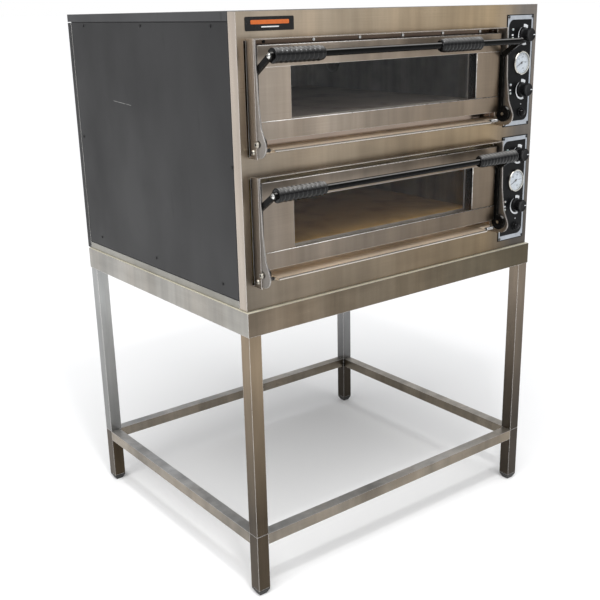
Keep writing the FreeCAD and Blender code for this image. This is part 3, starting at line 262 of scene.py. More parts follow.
def mirror_steel(name, colour, roughness=0.09, metallic=1.0):
    """Polished sheet with faint wipe marks and heat tint."""
    shader = Shader(name)
    wipe = shader.noise((4, 30, 60), 4)
    tint = shader.noise((5, 5, 12), 3)
    normal, edge = shader.rounded(0.8 * MM)
    tone = shader.mix(shader.spread(tint), dimmed(colour, 0.78), colour)
    # Bare edges with a painted highlight: pale colour along the rounded edges.
    tone = shader.mix(shader.math("MULTIPLY", edge, 0.6), tone, (0.9, 0.88, 0.84))
    shader.put("Base Color", tone)
    shader.put("Metallic", metallic)
    shader.put("Roughness", shader.spread(wipe, roughness, roughness + 0.1))
    shader.bump(wipe, 0.05, 0.1 * MM, normal)
    return shader.material


def chrome(name, colour=(0.78, 0.78, 0.76), roughness=0.12):
    """Bright plated metal, a little dulled in patches."""
    shader = Shader(name)
    dull = shader.noise(160, 4)
    normal, edge = shader.rounded(0.3 * MM)
    shader.put("Base Color", shader.mix(shader.spread(dull), dimmed(colour, 0.72), colour))
    shader.put("Metallic", 1.0)
    shader.put("Roughness", shader.spread(dull, roughness, roughness + 0.14))
    shader.bump(dull, 0.06, 0.05 * MM, normal)
    return shader.material


def satin_paint(name, colour, grime, roughness=0.42):
    """Charcoal stove paint: soft cloudy patches, a few dark upright rubs, pale specks and scuffed edges."""
    shader = Shader(name)
    cloudy = shader.noise((5, 5, 3), 4, 0.5)
    broad = shader.noise((1.7, 1.7, 1.5), 2)
    rub = shader.noise((34, 34, 4.5), 3, 0.5)
    speck = shader.noise((330, 330, 260), 2)
    peel = shader.noise(700, 2)
    normal, edge = shader.rounded(0.9 * MM)
    tone = shader.mix(shader.spread(broad), dimmed(colour, 0.76), dimmed(colour, 1.26))
    tone = shader.mix(shader.spread(cloudy, 0, 0.5), tone, dimmed(colour, 0.78))
    tone = shader.mix(shader.spread(rub, 0, 0.6, 0.66, 0.76), tone, dimmed(colour, 0.4))
    tone = shader.mix(shader.spread(speck, 0, 0.5, 0.77, 0.84), tone, grime)
    tone = shader.mix(shader.math("MULTIPLY", edge, 0.12), tone, grime)
    shader.put("Base Color", tone)
    shader.put("Roughness", shader.spread(cloudy, roughness - 0.04, roughness + 0.14))
    shader.put("Specular IOR Level", 0.3)
    shader.bump(peel, 0.08, 0.06 * MM, normal)
    return shader.material


UP_AND_FORWARD = (0, -0.64, 0.77)
NEARLY_UP = (0, -0.34, 0.94)


def grip_plastic(name):
    """Black ribbed grips, greyed on their upper side by a painted highlight that handling marks make
    uneven.
    """
    shader = Shader(name)
    mould = shader.noise(900, 2)
    handled = shader.noise(45, 4)
    normal, _ = shader.rounded(0.7 * MM)
    # Painted highlight: the upper side is greyed most where it faces up, unevenly with handling marks.
    painted_top_light = shader.math("POWER", shader.facing(NEARLY_UP, 0.35, 1), 3.5)
    painted_top_light = shader.math("MULTIPLY", painted_top_light, shader.spread(handled, 0.75, 1.2))
    shader.put("Base Color", shader.mix(painted_top_light, (0.0022, 0.0022, 0.0023), (0.22, 0.216, 0.21)))
    shader.put("Roughness", shader.spread(handled, 0.14, 0.24))
    shader.put("Specular IOR Level", 0.32)
    shader.bump(mould, 0.12, 0.05 * MM, normal)
    return shader.material


def plastic(name, colour, roughness, worn=(0.16, 0.16, 0.16), shine=0.22, texture=900):
    """Moulded plastic with a fine texture, handling marks and paler rubbed edges."""
    shader = Shader(name)
    mould = shader.noise(texture, 2)
    handled = shader.noise(45, 4)
    normal, edge = shader.rounded(0.7 * MM)
    tone = shader.mix(shader.spread(handled), dimmed(colour, 0.75), dimmed(colour, 1.3))
    shader.put("Base Color", shader.mix(shader.math("MULTIPLY", edge, 0.3), tone, worn))
    shader.put("Roughness", shader.spread(handled, roughness - 0.06, roughness + 0.1))
    shader.put("Specular IOR Level", shine)
    shader.bump(mould, 0.12, 0.05 * MM, normal)
    return shader.material


def black_enamel(name):
    """Satin black on bent bar and rod, with a painted highlight along its upper side and rubbed to metal on
    its edges.
    """
    shader = Shader(name)
    coat = shader.noise(240, 4)
    rub = shader.noise(60, 5)
    normal, edge = shader.rounded(0.8 * MM)
    tone = shader.mix(shader.spread(coat), (0.002, 0.002, 0.002), (0.005, 0.0048, 0.0045))
    worn = shader.math("MULTIPLY", edge, shader.spread(rub, 0, 0.5, 0.45, 0.62))
    # Painted highlight: a pale line where the surface faces up and forwards.
    tone = shader.mix(shader.facing(UP_AND_FORWARD, 0.955, 0.99), tone, (0.15, 0.146, 0.14))
    shader.put("Base Color", shader.mix(worn, tone, (0.35, 0.33, 0.3)))
    shader.put("Roughness", shader.spread(coat, 0.1, 0.18))
    shader.put("Specular IOR Level", 0.07)
    shader.bump(coat, 0.07, 0.05 * MM, normal)
    return shader.material


def refractory(name, dark, light):
    """Fine-grained fired stone between two tones, stained and singed in use."""
    shader = Shader(name)
    grain = shader.noise(260, 5)
    stain = shader.noise(9, 5)
    tone = shader.mix(shader.spread(grain), dark, light)
    shader.put("Base Color", shader.mix(shader.spread(stain, 0, 0.6, 0.48, 0.7), tone, dimmed(dark, 0.43)))
    shader.put("Roughness", shader.spread(grain, 0.75, 0.95))
    shader.bump(grain, 0.4, 0.5 * MM)
    return shader.material


def heated_sheath(name):
    """Steel tube blued and browned by heat."""
    shader = Shader(name)
    tint = shader.noise((14, 40, 40), 4)
    scale = shader.noise(420, 4)
    shader.put("Base Color", shader.mix(shader.spread(tint), (0.1, 0.085, 0.08), (0.26, 0.2, 0.16)))
    shader.put("Metallic", 0.85)
    shader.put("Roughness", shader.spread(scale, 0.4, 0.62))
    shader.bump(scale, 0.2, 0.1 * MM)
    return shader.material


def mineral_wool(name):
    """Matted yellow fibre."""
    shader = Shader(name)
    fibre = shader.noise((500, 90, 500), 6, 0.7)
    clump = shader.noise(22, 4)
    tone = shader.mix(shader.spread(clump), (0.52, 0.45, 0.24), (0.7, 0.63, 0.4))
    shader.put("Base Color", shader.mix(shader.spread(fibre, 0, 0.5), tone, (0.36, 0.3, 0.16)))
    shader.put("Roughness", shader.spread(fibre, 0.85, 1))
    shader.bump(fibre, 0.7, 1.5 * MM)
    return shader.material


def pane(name, tint, cover, roughness=0.03):
    """Thin tempered glass: a faint greasy film in the pane's tint, which light passes straight through."""
    shader = Shader(name)
    film = shader.noise((7, 7, 5), 5, 0.6)
    shader.put("Base Color", shader.mix(shader.spread(film), dimmed(tint, 0.7), dimmed(tint, 1.4)))
    shader.put("Alpha", cover)
    shader.put("Specular IOR Level", 0.8)
    shader.put("Roughness", shader.spread(film, roughness, roughness + 0.05, 0.45, 0.75))
    return shader.material


def glass(name, colour, smear, roughness=0.0):
    """Thick moulded glass with a faint greasy film."""
    shader = Shader(name)
    film = shader.noise((7, 7, 5), 5, 0.6)
    shader.put("Base Color", colour)
    shader.put("Transmission Weight", 1.0)
    shader.put("IOR", 1.3)
    shader.put("Roughness", shader.spread(film, roughness, roughness + smear, 0.45, 0.75))
    return shader.material


def frosted_lens(name, colour, glow):
    """Milky moulded lens, clearer in places."""
    shader = Shader(name)
    milk = shader.noise(500, 3)
    shader.put("Base Color", shader.mix(shader.spread(milk), dimmed(colour, 0.8), colour))
    shader.put("Transmission Weight", 0.25)
    shader.put("Roughness", shader.spread(milk, 0.12, 0.3))
    shader.put("Subsurface Weight", glow)
    return shader.material


def printed_ink(name, colour, roughness=0.45):
    """Screen-printed ink with slight unevenness and rub."""
    shader = Shader(name)
    rub = shader.noise((120, 120, 60), 5)
    dots = shader.noise(1400, 2)
    tone = shader.mix(shader.spread(rub, 0, 1, 0.35, 0.65), dimmed(colour, 0.88), colour)
    shader.put("Base Color", tone)
    shader.put("Roughness", shader.spread(rub, roughness, roughness + 0.12))
    shader.bump(dots, 0.06, 0.03 * MM)
    return shader.material


def pale_floor(name):
    """Matt studio floor with the least trace of unevenness."""
    shader = Shader(name)
    cloud = shader.noise(0.8, 3)
    fine = shader.noise(60, 3)
    shader.put("Base Color", shader.mix(shader.spread(cloud), (0.93, 0.93, 0.93), (0.96, 0.96, 0.96)))
    shader.put("Roughness", shader.spread(fine, 0.85, 0.95))
    shader.put("Specular IOR Level", 0.1)
    return shader.material


# Steel tones: at the left, at the right, how dark the foot is, and between which heights. The tones are set
# to the light: the left-to-right change and the darker foot are painted light and shade, and one steel gets
# lit and shaded copies from part to part and face to face.
OVEN_HEIGHTS = (0.8, 1.4)
LEG_HEIGHTS = (0.1, 0.4)
FRONT_HEIGHTS = (0.8, 1.42)
FRONT = ((0.5, 0.425, 0.335), (0.5, 0.37, 0.22), 0.4, FRONT_HEIGHTS)
# Painted shade: the front sheet's darker right end.
FRONT_END = (0.25, 0.225, 0.2)
# Painted light: the front's side returns are a paler copy of its steel.
RETURN = ((0.64, 0.565, 0.49), (0.55, 0.47, 0.4), 0.8, OVEN_HEIGHTS)
# Painted light and shade: the doors go from pale at the left to dark at the right.
DOOR = ((0.48, 0.41, 0.34), (0.27, 0.207, 0.145), 0.42, OVEN_HEIGHTS)
CHEEK = ((0.49, 0.43, 0.375), (0.42, 0.36, 0.3), 0.6, OVEN_HEIGHTS)
HINGE = ((0.42, 0.39, 0.36), (0.38, 0.34, 0.3), 0.6, OVEN_HEIGHTS)
CASING = ((0.37, 0.36, 0.325), (0.32, 0.305, 0.27), 1, OVEN_HEIGHTS)
# Painted shade on the apron's front and back, painted light on its sides: one steel in two tones.
RAIL = ((0.195, 0.158, 0.118), (0.115, 0.096, 0.064), 1, OVEN_HEIGHTS)
SIDE_RAIL = ((0.4, 0.385, 0.355), (0.4, 0.385, 0.355), 1, OVEN_HEIGHTS)
# Painted light: the rear legs are a paler, greyer copy of the front legs' steel.
LEG = ((0.31, 0.24, 0.165), (0.23, 0.19, 0.15), 0.22, (0.22, 0.72))
REAR_LEG = ((0.4, 0.41, 0.41), (0.31, 0.31, 0.31), 0.5, (0.1, 0.6))
LOW_RAIL = ((0.27, 0.24, 0.2), (0.22, 0.19, 0.15), 1, LEG_HEIGHTS)
# Painted light: the door's inner pan is much paler than its steel.
INNER_PAN = ((0.86, 0.8, 0.72), (0.86, 0.8, 0.72), 1, OVEN_HEIGHTS)
# Painted light: the low rails' tops are paler than their sides.
LOW_TOP = ((0.62, 0.62, 0.62), (0.6, 0.56, 0.5), 1, LEG_HEIGHTS)
LINER = ((0.74, 0.74, 0.73), (0.74, 0.74, 0.73), 1, OVEN_HEIGHTS)
# Painted light: the lower chamber's liner is a paler, tanner copy of the upper one's.
WARM_LINER = ((0.64, 0.53, 0.28), (0.64, 0.53, 0.28), 1, OVEN_HEIGHTS)
# Painted highlight: the folds that catch the light are near white.
FOLD = ((0.85, 0.82, 0.78), (0.8, 0.78, 0.76), 0.9, OVEN_HEIGHTS)

LOOKS = {
    "front_x": brushed_steel("brushed_front", FRONT, "x", 0.29, 0.13, end=FRONT_END),
    "door_x": brushed_steel("brushed_door", DOOR, "x", 0.3, 0.16),
    "return_z": brushed_steel("front_returns", RETURN, "z", 0.24, 0.15),
    "cheek_z": brushed_steel("brushed_cheeks", CHEEK, "z", 0.24, 0.22),
    "hinge_z": brushed_steel("hinge_steel", HINGE, "z", 0.3, 0.1),
    "inner_pan": brushed_steel("inner_pan_steel", INNER_PAN, "x", 0.35, 0.1),
    "casing_x": brushed_steel("casing_steel_lengthwise", CASING, "x", 0.32, 0.1, 0.2),
    "casing_y": brushed_steel("casing_steel_sideways", CASING, "y", 0.32, 0.1, 0.1),
    "stand_x": brushed_steel("stand_steel_lengthwise", RAIL, "x", 0.27, 0.18, 0.1),
    "stand_y": brushed_steel("stand_steel_sideways", SIDE_RAIL, "y", 0.27, 0.16, 0.1),
    "rear_leg": brushed_steel("rear_leg_steel", REAR_LEG, "z", 0.3, 0.12, 0.1),
    "stand_z": brushed_steel("stand_steel_upright", LEG, "z", 0.27, 0.18, 0.1),
    "low_top": brushed_steel("low_rail_tops", LOW_TOP, "x", 0.4, 0.18, 0.1),
    "low_x": brushed_steel("low_rail_steel_lengthwise", LOW_RAIL, "x", 0.27, 0.18, 0.1),
    "low_y": brushed_steel("low_rail_steel_sideways", LOW_RAIL, "y", 0.27, 0.18, 0.1),
    "bright_fold": brushed_steel("bright_folds", FOLD, "x", 0.3, 0.05),
    # One polished steel in several colours: painted reflection and shade on the upper deck's strips,
    # painted light on the lower deck's.
    "mirror": mirror_steel("mirror_steel", (0.105, 0.076, 0.058)),
    "low_mirror": mirror_steel("low_mirror_steel", (0.34, 0.27, 0.22)),
    "low_strip": mirror_steel("lower_low_strip", (0.6, 0.5, 0.4)),
    "liner": brushed_steel("liner_steel", LINER, "x", 0.42, 0.25, 0.2),
    # Painted light: the lower chamber's liner is a paler, tanner copy of the upper one's.
    "warm_liner": brushed_steel("lower_liner_steel", WARM_LINER, "x", 0.42, 0.25, 0.2),
    # Painted light: the sill is given a pale colour though it sits in a dark recess, and the lip's colour
    # paints a highlight line along it.
    "sill": mirror_steel("polished_sill", (0.88, 0.73, 0.56), 0.3, 0.45),
    "lip": mirror_steel("sill_lip_steel", (0.66, 0.61, 0.55), 0.16),
    "dark_paint": satin_paint("dark_paint", (0.0195, 0.0195, 0.0201), (0.3, 0.3, 0.3)),
    "lid_paint": satin_paint("lid_paint", (0.048, 0.048, 0.05), (0.3, 0.3, 0.3)),
    "bright_screw": chrome("screws"),
    "bolt": chrome("hinge_bolt_steel", (0.5, 0.47, 0.41), 0.24),
    # Painted highlights: the beads are near white and the apron's edge pale, to draw bright lines along the
    # edges.
    "edge": chrome("rolled_edge_highlights", (0.95, 0.93, 0.9), 0.22),
    "fold_edge": printed_ink("apron_edge_highlight", (0.62, 0.58, 0.46), 0.3),
    # Painted light: the lower deck's strip over the mouth is far paler than the upper deck's.
    "top_strip": mirror_steel("lower_top_strip", (0.74, 0.65, 0.48), 0.14),
    "dark_screw": plastic("dark_screws", (0.02, 0.02, 0.02), 0.4),
    "socket": plastic("screw_sockets", (0.01, 0.01, 0.01), 0.5),
    "badge": plastic("badge", (0.012, 0.012, 0.012), 0.22),
    "insulation": mineral_wool("insulation"),
    # Painted light and shade: the lower chamber's stone is paler and warmer than the upper one's.
    "stone": refractory("stone", (0.8, 0.48, 0.18), (0.9, 0.61, 0.26)),
    "darker_stone": refractory("darker_stone", (0.56, 0.49, 0.43), (0.7, 0.61, 0.53)),
    "elements": heated_sheath("elements"),
    "glass": pane("glass", (0.02, 0.021, 0.023), 0.08),
    "lamp_glass": glass("lamp_glass", (0.9, 0.9, 0.86), 0.1, 0.25),
    "dial_glass": pane("dial_glass", (0.3, 0.31, 0.32), 0.08),
    "black_metal": black_enamel("black_metal"),
    "grip": grip_plastic("grip_plastic"),
    # Painted light and shade: the right springs' wire is a bright copy of the left ones' dark wire.
    "spring_wire": chrome("spring_wire", (0.1, 0.098, 0.095), 0.3),
    "bright_wire": chrome("bright_spring_wire", (0.66, 0.66, 0.66), 0.2),
    "washer": plastic("spring_washers", (0.012, 0.012, 0.012), 0.35),
    "fascia": plastic("fascia", (0.005, 0.0052, 0.0056), 0.3, shine=0.1),
    "silver_ink": printed_ink("fascia_silver_ink", (0.4, 0.43, 0.47)),
    "scratch": printed_ink("bared_metal", (0.5, 0.5, 0.48)),
    "white_ink": printed_ink("white_ink", (0.8, 0.82, 0.84)),
    "black_ink": printed_ink("black_ink", (0.015, 0.015, 0.018)),
    "orange_ink": printed_ink("orange_ink", (0.64, 0.14, 0.018), 0.3),
    "knob": plastic("knobs", (0.007, 0.007, 0.0075), 0.3, shine=0.16),
    "bezel": chrome("bezel_chrome", (0.66, 0.64, 0.58), 0.07),
    "dial_white": printed_ink("dial_white", (0.74, 0.8, 0.86), 0.35),
    "needle": plastic("needle", (0.02, 0.02, 0.022), 0.35),
    "button": plastic("buttons", (0.005, 0.005, 0.0055), 0.2, shine=0.12),
    "pilot": frosted_lens("pilot_lenses", (0.72, 0.72, 0.7), 0.2),
    "control_body": plastic("control_bodies", (0.2, 0.18, 0.15), 0.5),
    "gland": plastic("gland", (0.03, 0.03, 0.03), 0.45),
    "foot": plastic("feet", (0.035, 0.034, 0.033), 0.5, (0.2, 0.19, 0.18)),
    "floor": pale_floor("pale_floor"),
}


# ---- finishes of the CAD nodes ----

SHARED_FINISHES = {
    "top_lid": "lid_paint",
    "base_tray": "casing_y",
    "left_side_panel": "dark_paint",
    "right_side_panel": "dark_paint",
    "side_frames": "socket",
    "control_bulkhead": "casing_y",
    "insulation": "insulation",
    "cable_gland": "gland",
    "badge": "badge",
    "hinge_bolts": "bolt",
    "door_springs": "spring_wire",
    "control_fascias": "fascia",
    "thermostat_bodies": "control_body",
    "dial_glasses": "dial_glass",
    "switch_collars": "button",
    "indicator_lamps": "pilot",
    "chamber_lamps": "lamp_glass",
    "stand_lower_legs": "stand_z",
    "stand_feet": "foot",
}

DECK_FINISHES = {
    "door_surround": "cheek_z",
    "hinge_plates": "hinge_z",
    "heating_elements": "elements",
    "door_glass": "glass",
    "door_arms": "black_metal",
    "handle_bar": "black_metal",
    "bar_screws": "bright_screw",
    "grips": "grip",
    "top_heat_knob": "knob",
    "floor_heat_knob": "knob",
    "thermometer_needle": "needle",
    "light_button": "button",
}

# The strip over the mouth, the liner, the strip under the mouth and the floor. The two decks' copies differ
# by painted light and shade: the upper deck's strip over the mouth is a dark painted reflection, and the
# lower deck's looks are paler and warmer.
CHAMBER_LOOKS = {
    "upper": ("mirror", "liner", "low_mirror", "darker_stone"),
    "lower": ("top_strip", "warm_liner", "low_strip", "stone"),
}


def finish(node, *looks, chosen=None):
    """Gives a CAD node its materials; a rule picks one for each face where there are several."""
    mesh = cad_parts[node].data
    mesh.materials.clear()
    for look in looks:
        mesh.materials.append(LOOKS[look])
    for face in mesh.polygons:
        face.material_index = chosen(face.center, face.normal) if chosen else 0


def finish_plain_nodes():
    """Nodes with one finish all over."""
    for node, look in SHARED_FINISHES.items():
        finish(node, look)
    for deck in DECKS:
        for part, look in DECK_FINISHES.items():
            finish(f"{deck}_{part}", look)


SQUARE_ON = 0.7
DEAD_SQUARE = 0.9
SIDE_RAIL_X = 0.455
JAMB_FROM = 0.2
DOOR_RAILS_Y = -0.4
FLANGE_Y = -0.368
UNDER_MOUTH = 0.2
LIP_Y = -0.4125
DARK_SCREW_X = 0.38


def faces_sideways(place, normal):
    return int(abs(normal.x) > SQUARE_ON)


def apron_face(place, normal):
    """The apron's front and back, its sides, or the ledge along its top; the sides take a paler copy of the
    steel as painted light and the ledge a pale colour as a painted highlight.
    """
    if normal.z > SQUARE_ON:
        return 2
    return faces_sideways(place, normal)


def is_rear(place, normal):
    return int(place.y > 0)


def low_rail_face(place, normal):
    """The rails' tops are paler than their sides by painted light; the sides' grain follows each rail."""
    if normal.z > SQUARE_ON:
        return 2
    return int(abs(place.x) > SIDE_RAIL_X)


def is_bright_fold(place, normal):
    """The window's right jamb and the tops of the door's proud rails, which catch the light."""
    lit = normal.z > DEAD_SQUARE or normal.x < -DEAD_SQUARE and place.x > JAMB_FROM
    return int(place.y < DOOR_RAILS_Y and lit)


def chamber_zone(place, normal):
    """The strip over the mouth, the liner behind the front flange, or the strip under the mouth."""
    if place.y > FLANGE_Y:
        return 1
    return 2 if (OVEN_TOP - place.z) % DECK_PITCH > UNDER_MOUTH else 0


def is_lip(place, normal):
    return int(place.y < LIP_Y)


def is_dark_screw(place, normal):
    """The screws of the side panels and control panels are black, those over the doors are bright."""
    return int(abs(place.x) > DARK_SCREW_X)


def is_dial(place, normal):
    return int(normal.y < -DEAD_SQUARE and abs(place.y - DIAL_FACE) < 0.2 * MM)


def finish_mixed_nodes():
    """Nodes whose grain or finish differs from face to face."""
    finish("front_panel", "front_x", "return_z", chosen=faces_sideways)
    finish("rear_panel", "casing_x", "dark_paint", chosen=faces_sideways)
    # The apron's sides and top ledge get paler colours: painted light and a painted highlight.
    finish("stand_top_rails", "stand_x", "stand_y", "fold_edge", chosen=apron_face)
    finish("stand_lower_rails", "low_x", "low_y", "low_top", chosen=low_rail_face)
    # The rear legs get a paler, greyer copy of the legs' steel: painted light.
    finish("stand_upper_legs", "stand_z", "rear_leg", chosen=is_rear)
    finish("casing_screws", "bright_screw", "dark_screw", chosen=is_dark_screw)
    finish("thermometer_cases", "bezel", "dial_white", chosen=is_dial)
    for deck in DECKS:
        finish(f"{deck}_door_frame", "door_x", "bright_fold", chosen=is_bright_fold)
        high_strip, liner, low_strip, stone = CHAMBER_LOOKS[deck]
        finish(f"{deck}_chamber_liner", high_strip, liner, low_strip, chosen=chamber_zone)
        finish(f"{deck}_stone_floor", stone)
        finish(f"{deck}_door_inner_panel", "inner_pan", "mirror", chosen=faces_sideways)
        finish(f"{deck}_sill", "sill", "lip", chosen=is_lip)


# ---- making new pieces ----


def placed(name, data):
    """A new object of the scene."""
    item = bpy.data.objects.new(name, data)
    bpy.context.scene.collection.objects.link(item)
    return item


def piece(name, body, look, shape, smooth=False):
    """A mesh of given vertices and faces that rides on a body."""
    vertices, faces = shape
    mesh = bpy.data.meshes.new(name)
    mesh.from_pydata([tuple(vertex) for vertex in vertices], [], faces)
    mesh.validate()
    mesh.update()
    for face in mesh.polygons:
        face.use_smooth = smooth
    mesh.materials.append(LOOKS[look])
    item = placed(name, mesh)
    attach(item, body)
    return item


def joined(shapes):
    """Several shapes as one."""
    vertices = []
    faces = []
    for corners, sides in shapes:
        start = len(vertices)
        vertices += corners
        faces += [[start + corner for corner in side] for side in sides]
    return vertices, faces


def moved(shape, matrix):
    vertices, faces = shape
    return [matrix @ Vector(vertex) for vertex in vertices], faces


def along(axis, origin):
    """A frame whose z points along an axis, at an origin."""
    turn = Vector((0, 0, 1)).rotation_difference(Vector(axis)).to_matrix().to_4x4()
    return Matrix.Translation(Vector(origin)) @ turn


def tube_faces(rings, sides):
    """Faces between rings of points laid one after another, and one over each end."""
    faces = []
    for ring in range(rings - 1):
        for step in range(sides):
            after = (step + 1) % sides
            near = ring * sides
            far = near + sides
            faces.append([near + step, near + after, far + after, far + step])
    faces.append(list(reversed(range(sides))))
    faces.append([(rings - 1) * sides + step for step in range(sides)])
    return faces


def turned(profile, steps, wave=None):
    """A turned shape about z from (height, radius) pairs, with each ring's radius waved if asked."""
    vertices = []
    for height, radius in profile:
        for step in range(steps):
            angle = 2 * math.pi * step / steps
            reach = radius * (wave(angle, height) if wave else 1)
            vertices.append(Vector((reach * math.cos(angle), reach * math.sin(angle), height)))
    return vertices, tube_faces(len(profile), steps)


def in_metres(pairs):
    """Pairs of lengths in millimetres turned into metres."""
    return [(first * MM, second * MM) for first, second in pairs]


def swept(path, radius, sides=8):
    """A round wire along a path."""
    vertices = []
    count = len(path)
    side = None
    for index, point in enumerate(path):
        ahead = path[min(index + 1, count - 1)] - path[max(index - 1, 0)]
        ahead.normalize()
        if side is None:
            side = ahead.orthogonal().normalized()
        side = (side - ahead * side.dot(ahead)).normalized()
        other = ahead.cross(side)
        for step in range(sides):
            angle = 2 * math.pi * step / sides
            vertices.append(point + radius * (math.cos(angle) * side + math.sin(angle) * other))
    return vertices, tube_faces(count, sides)


def on_front(outline, depth):
    """Points of a flat outline, as (x, z) pairs, on a plane that faces the front."""
    return [Vector((across, depth, height)) for across, height in outline]


def inlay(outline, depth):
    """A flat patch that faces the front; its outline runs anticlockwise seen from there."""
    return on_front(outline, depth), [list(range(len(outline)))]


def band(inner, outer, depth, closed=True):
    """A flat band between two outlines with as many points, facing the front."""
    count = len(inner)
    vertices = on_front(inner, depth) + on_front(outer, depth)
    faces = []
    for index in range(count if closed else count - 1):
        after = (index + 1) % count
        faces.append([index, count + index, count + after, after])
    return vertices, faces


def around(centre, radius, degrees):
    """A point at a distance from a centre; degrees run anticlockwise from the right."""
    angle = math.radians(degrees)
    return centre[0] + radius * math.cos(angle), centre[1] + radius * math.sin(angle)


def arc(centre, radius, start, end, steps):
    """Points of an arc between two angles in degrees."""
    return [around(centre, radius, start + (end - start) * step / steps) for step in range(steps + 1)]


CORNER_STEPS = 8


def rounded_outline(left, right, low, high, radii):
    """A rectangle with a radius for each corner: low right, high right, high left, low left."""
    corners = ((right, low, -90), (right, high, 0), (left, high, 90), (left, low, 180))
    points = []
    for (across, height, start), radius in zip(corners, radii):
        middle_x = across - radius if across == right else across + radius
        middle_z = height + radius if height == low else height - radius
        points += arc((middle_x, middle_z), radius, start, start + 90, CORNER_STEPS)
    return points


def islands(node):
    """The (lowest, highest) corners of each separate solid of a CAD node."""
    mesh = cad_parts[node].data
    owner = {}
    parent = list(range(len(mesh.vertices)))

    def root(index):
        while parent[index] != index:
            parent[index] = parent[parent[index]]
            index = parent[index]
        return index

    for vertex in mesh.vertices:
        spot = tuple(round(part / (0.01 * MM)) for part in vertex.co)
        parent[root(vertex.index)] = root(owner.setdefault(spot, vertex.index))
    for face in mesh.polygons:
        for corner in face.vertices:
            parent[root(corner)] = root(face.vertices[0])
    groups = {}
    for vertex in mesh.vertices:
        groups.setdefault(root(vertex.index), []).append(vertex.co)
    boxes = []
    for points in groups.values():
        low = Vector([min(point[axis] for point in points) for axis in range(3)])
        high = Vector([max(point[axis] for point in points) for axis in range(3)])
        boxes.append((low, high))
    return sorted(boxes, key=lambda box: tuple(box[0]))


# ---- control panels ----

PRINT_PROUD = 0.12 * MM
PRINT_DEPTH = FASCIA_FACE - PRINT_PROUD
FASCIA_HALF = 0.054
FASCIA_TOP_DROP = 0.026
FASCIA_FOOT_DROP = 0.325
DOT_DROP = 0.266
FLUTES = 18
FLUTE_DEPTH = 0.022
KNOB_STEPS = 144
KNOB_SUNK = 0.8 * MM
KNOB_LONG = 25 * MM


def printed_border(top):
    """The silver border round the black field, whose two opposite corners are widely rounded."""
    rim = 2.2 * MM
    left = FASCIA_X - FASCIA_HALF
    right = FASCIA_X + FASCIA_HALF
    high = top - FASCIA_TOP_DROP
    low = top - FASCIA_FOOT_DROP
    small = 2 * MM
    wide = 19 * MM
    outer = rounded_outline(left + rim, right - rim, low + rim, high - rim, (small,) * 4)
    radii = (wide, small, wide, small)
    inner = rounded_outline(left + 6.5 * MM, right - 8 * MM, low + 14 * MM, high - 13 * MM, radii)
    return band(inner, outer, PRINT_DEPTH)


def printed_scale(top, drop):
    """The widening heat scale round a knob, with a block at its high end."""
    centre = (KNOB_X, top - drop)
    steps = 36
    start = 118
    end = 292
    narrow_reach = 22.8
    widening = 5.4
    inner = arc(centre, 22 * MM, start, end, steps)
    outer = []
    for step in range(steps + 1):
        reach = (narrow_reach + widening * (step / steps) ** 1.2) * MM
        outer.append(around(centre, reach, start + (end - start) * step / steps))
    crescent = band(inner, outer, PRINT_DEPTH, closed=False)
    near_side = arc(centre, 20 * MM, 48, 100, 12)
    far_side = arc(centre, 28 * MM, 58, 96, 12)
    return joined([crescent, band(near_side, far_side, PRINT_DEPTH, closed=False)])


def printed_marks(top):
    """Small round and square marks by the lamps and over the light button."""
    half = 3.5 * MM
    high = 4 * MM
    marks = []
    for drop in KNOB_DROPS:
        foot = top - drop - 1.5 * MM
        square = rounded_outline(LAMP_X - half, LAMP_X + half, foot, foot + high, (0.8 * MM,) * 4)
        marks.append(inlay(square, PRINT_DEPTH))
    marks.append(inlay(arc((KNOB_X, top - DOT_DROP), 1.6 * MM, 0, 345, 23), PRINT_DEPTH))
    return joined(marks)


def flute(angle, height):
    """Shallow finger flutes on a knob's grip, none on its skirt or face."""
    if not 6 * MM < height < 22.5 * MM:
        return 1
    return 1 - FLUTE_DEPTH * (0.5 + 0.5 * math.cos(FLUTES * angle)) ** 2


def make_knob(deck, name, centre):
    """A fluted knob with a skirt, a dished face and a white pointer line."""
    rear = FASCIA_FACE - KNOB_SUNK
    profile = [
        (0, 18.5), (0.5, 19), (3.2, 19), (4.2, 18.6), (4.8, 18), (6.2, 17.8), (7.5, 17.8), (14, 17.7),
        (22, 17.6), (23, 17.55), (24.2, 17.1), (24.8, 16.4), (25, 15.6), (24.9, 14.6), (24.4, 13.5),
        (24.2, 6), (24.2, 0.5),
    ]
    node = f"{deck}_{name}"
    place = along((0, -1, 0), (centre[0], rear, centre[1]))
    shape = moved(turned(in_metres(profile), KNOB_STEPS, flute), place)
    body = piece(f"{node}_detailed", node, "knob", shape, True)
    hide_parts(node)
    face = rear - KNOB_LONG
    edge = 1.1 * MM
    line = [
        Vector((centre[0] + across, face - proud, centre[1] + height))
        for height in (-edge, edge)
        for across, proud in in_metres(((9, -0.7), (16.6, 0.1), (17.75, -1.6), (17.8, -9)))
    ]
    quads = [[0, 1, 5, 4], [1, 2, 6, 5], [2, 3, 7, 6]]
    piece(f"{node}_pointer", node, "white_ink", (line, quads))


TICKS = 28
DIAL_START = 207
DIAL_SWEEP = 270
DIAL_NUMBERS = 5
DIAL_PRINT = DIAL_FACE - 0.1 * MM
TICK_TIP = 26.2 * MM


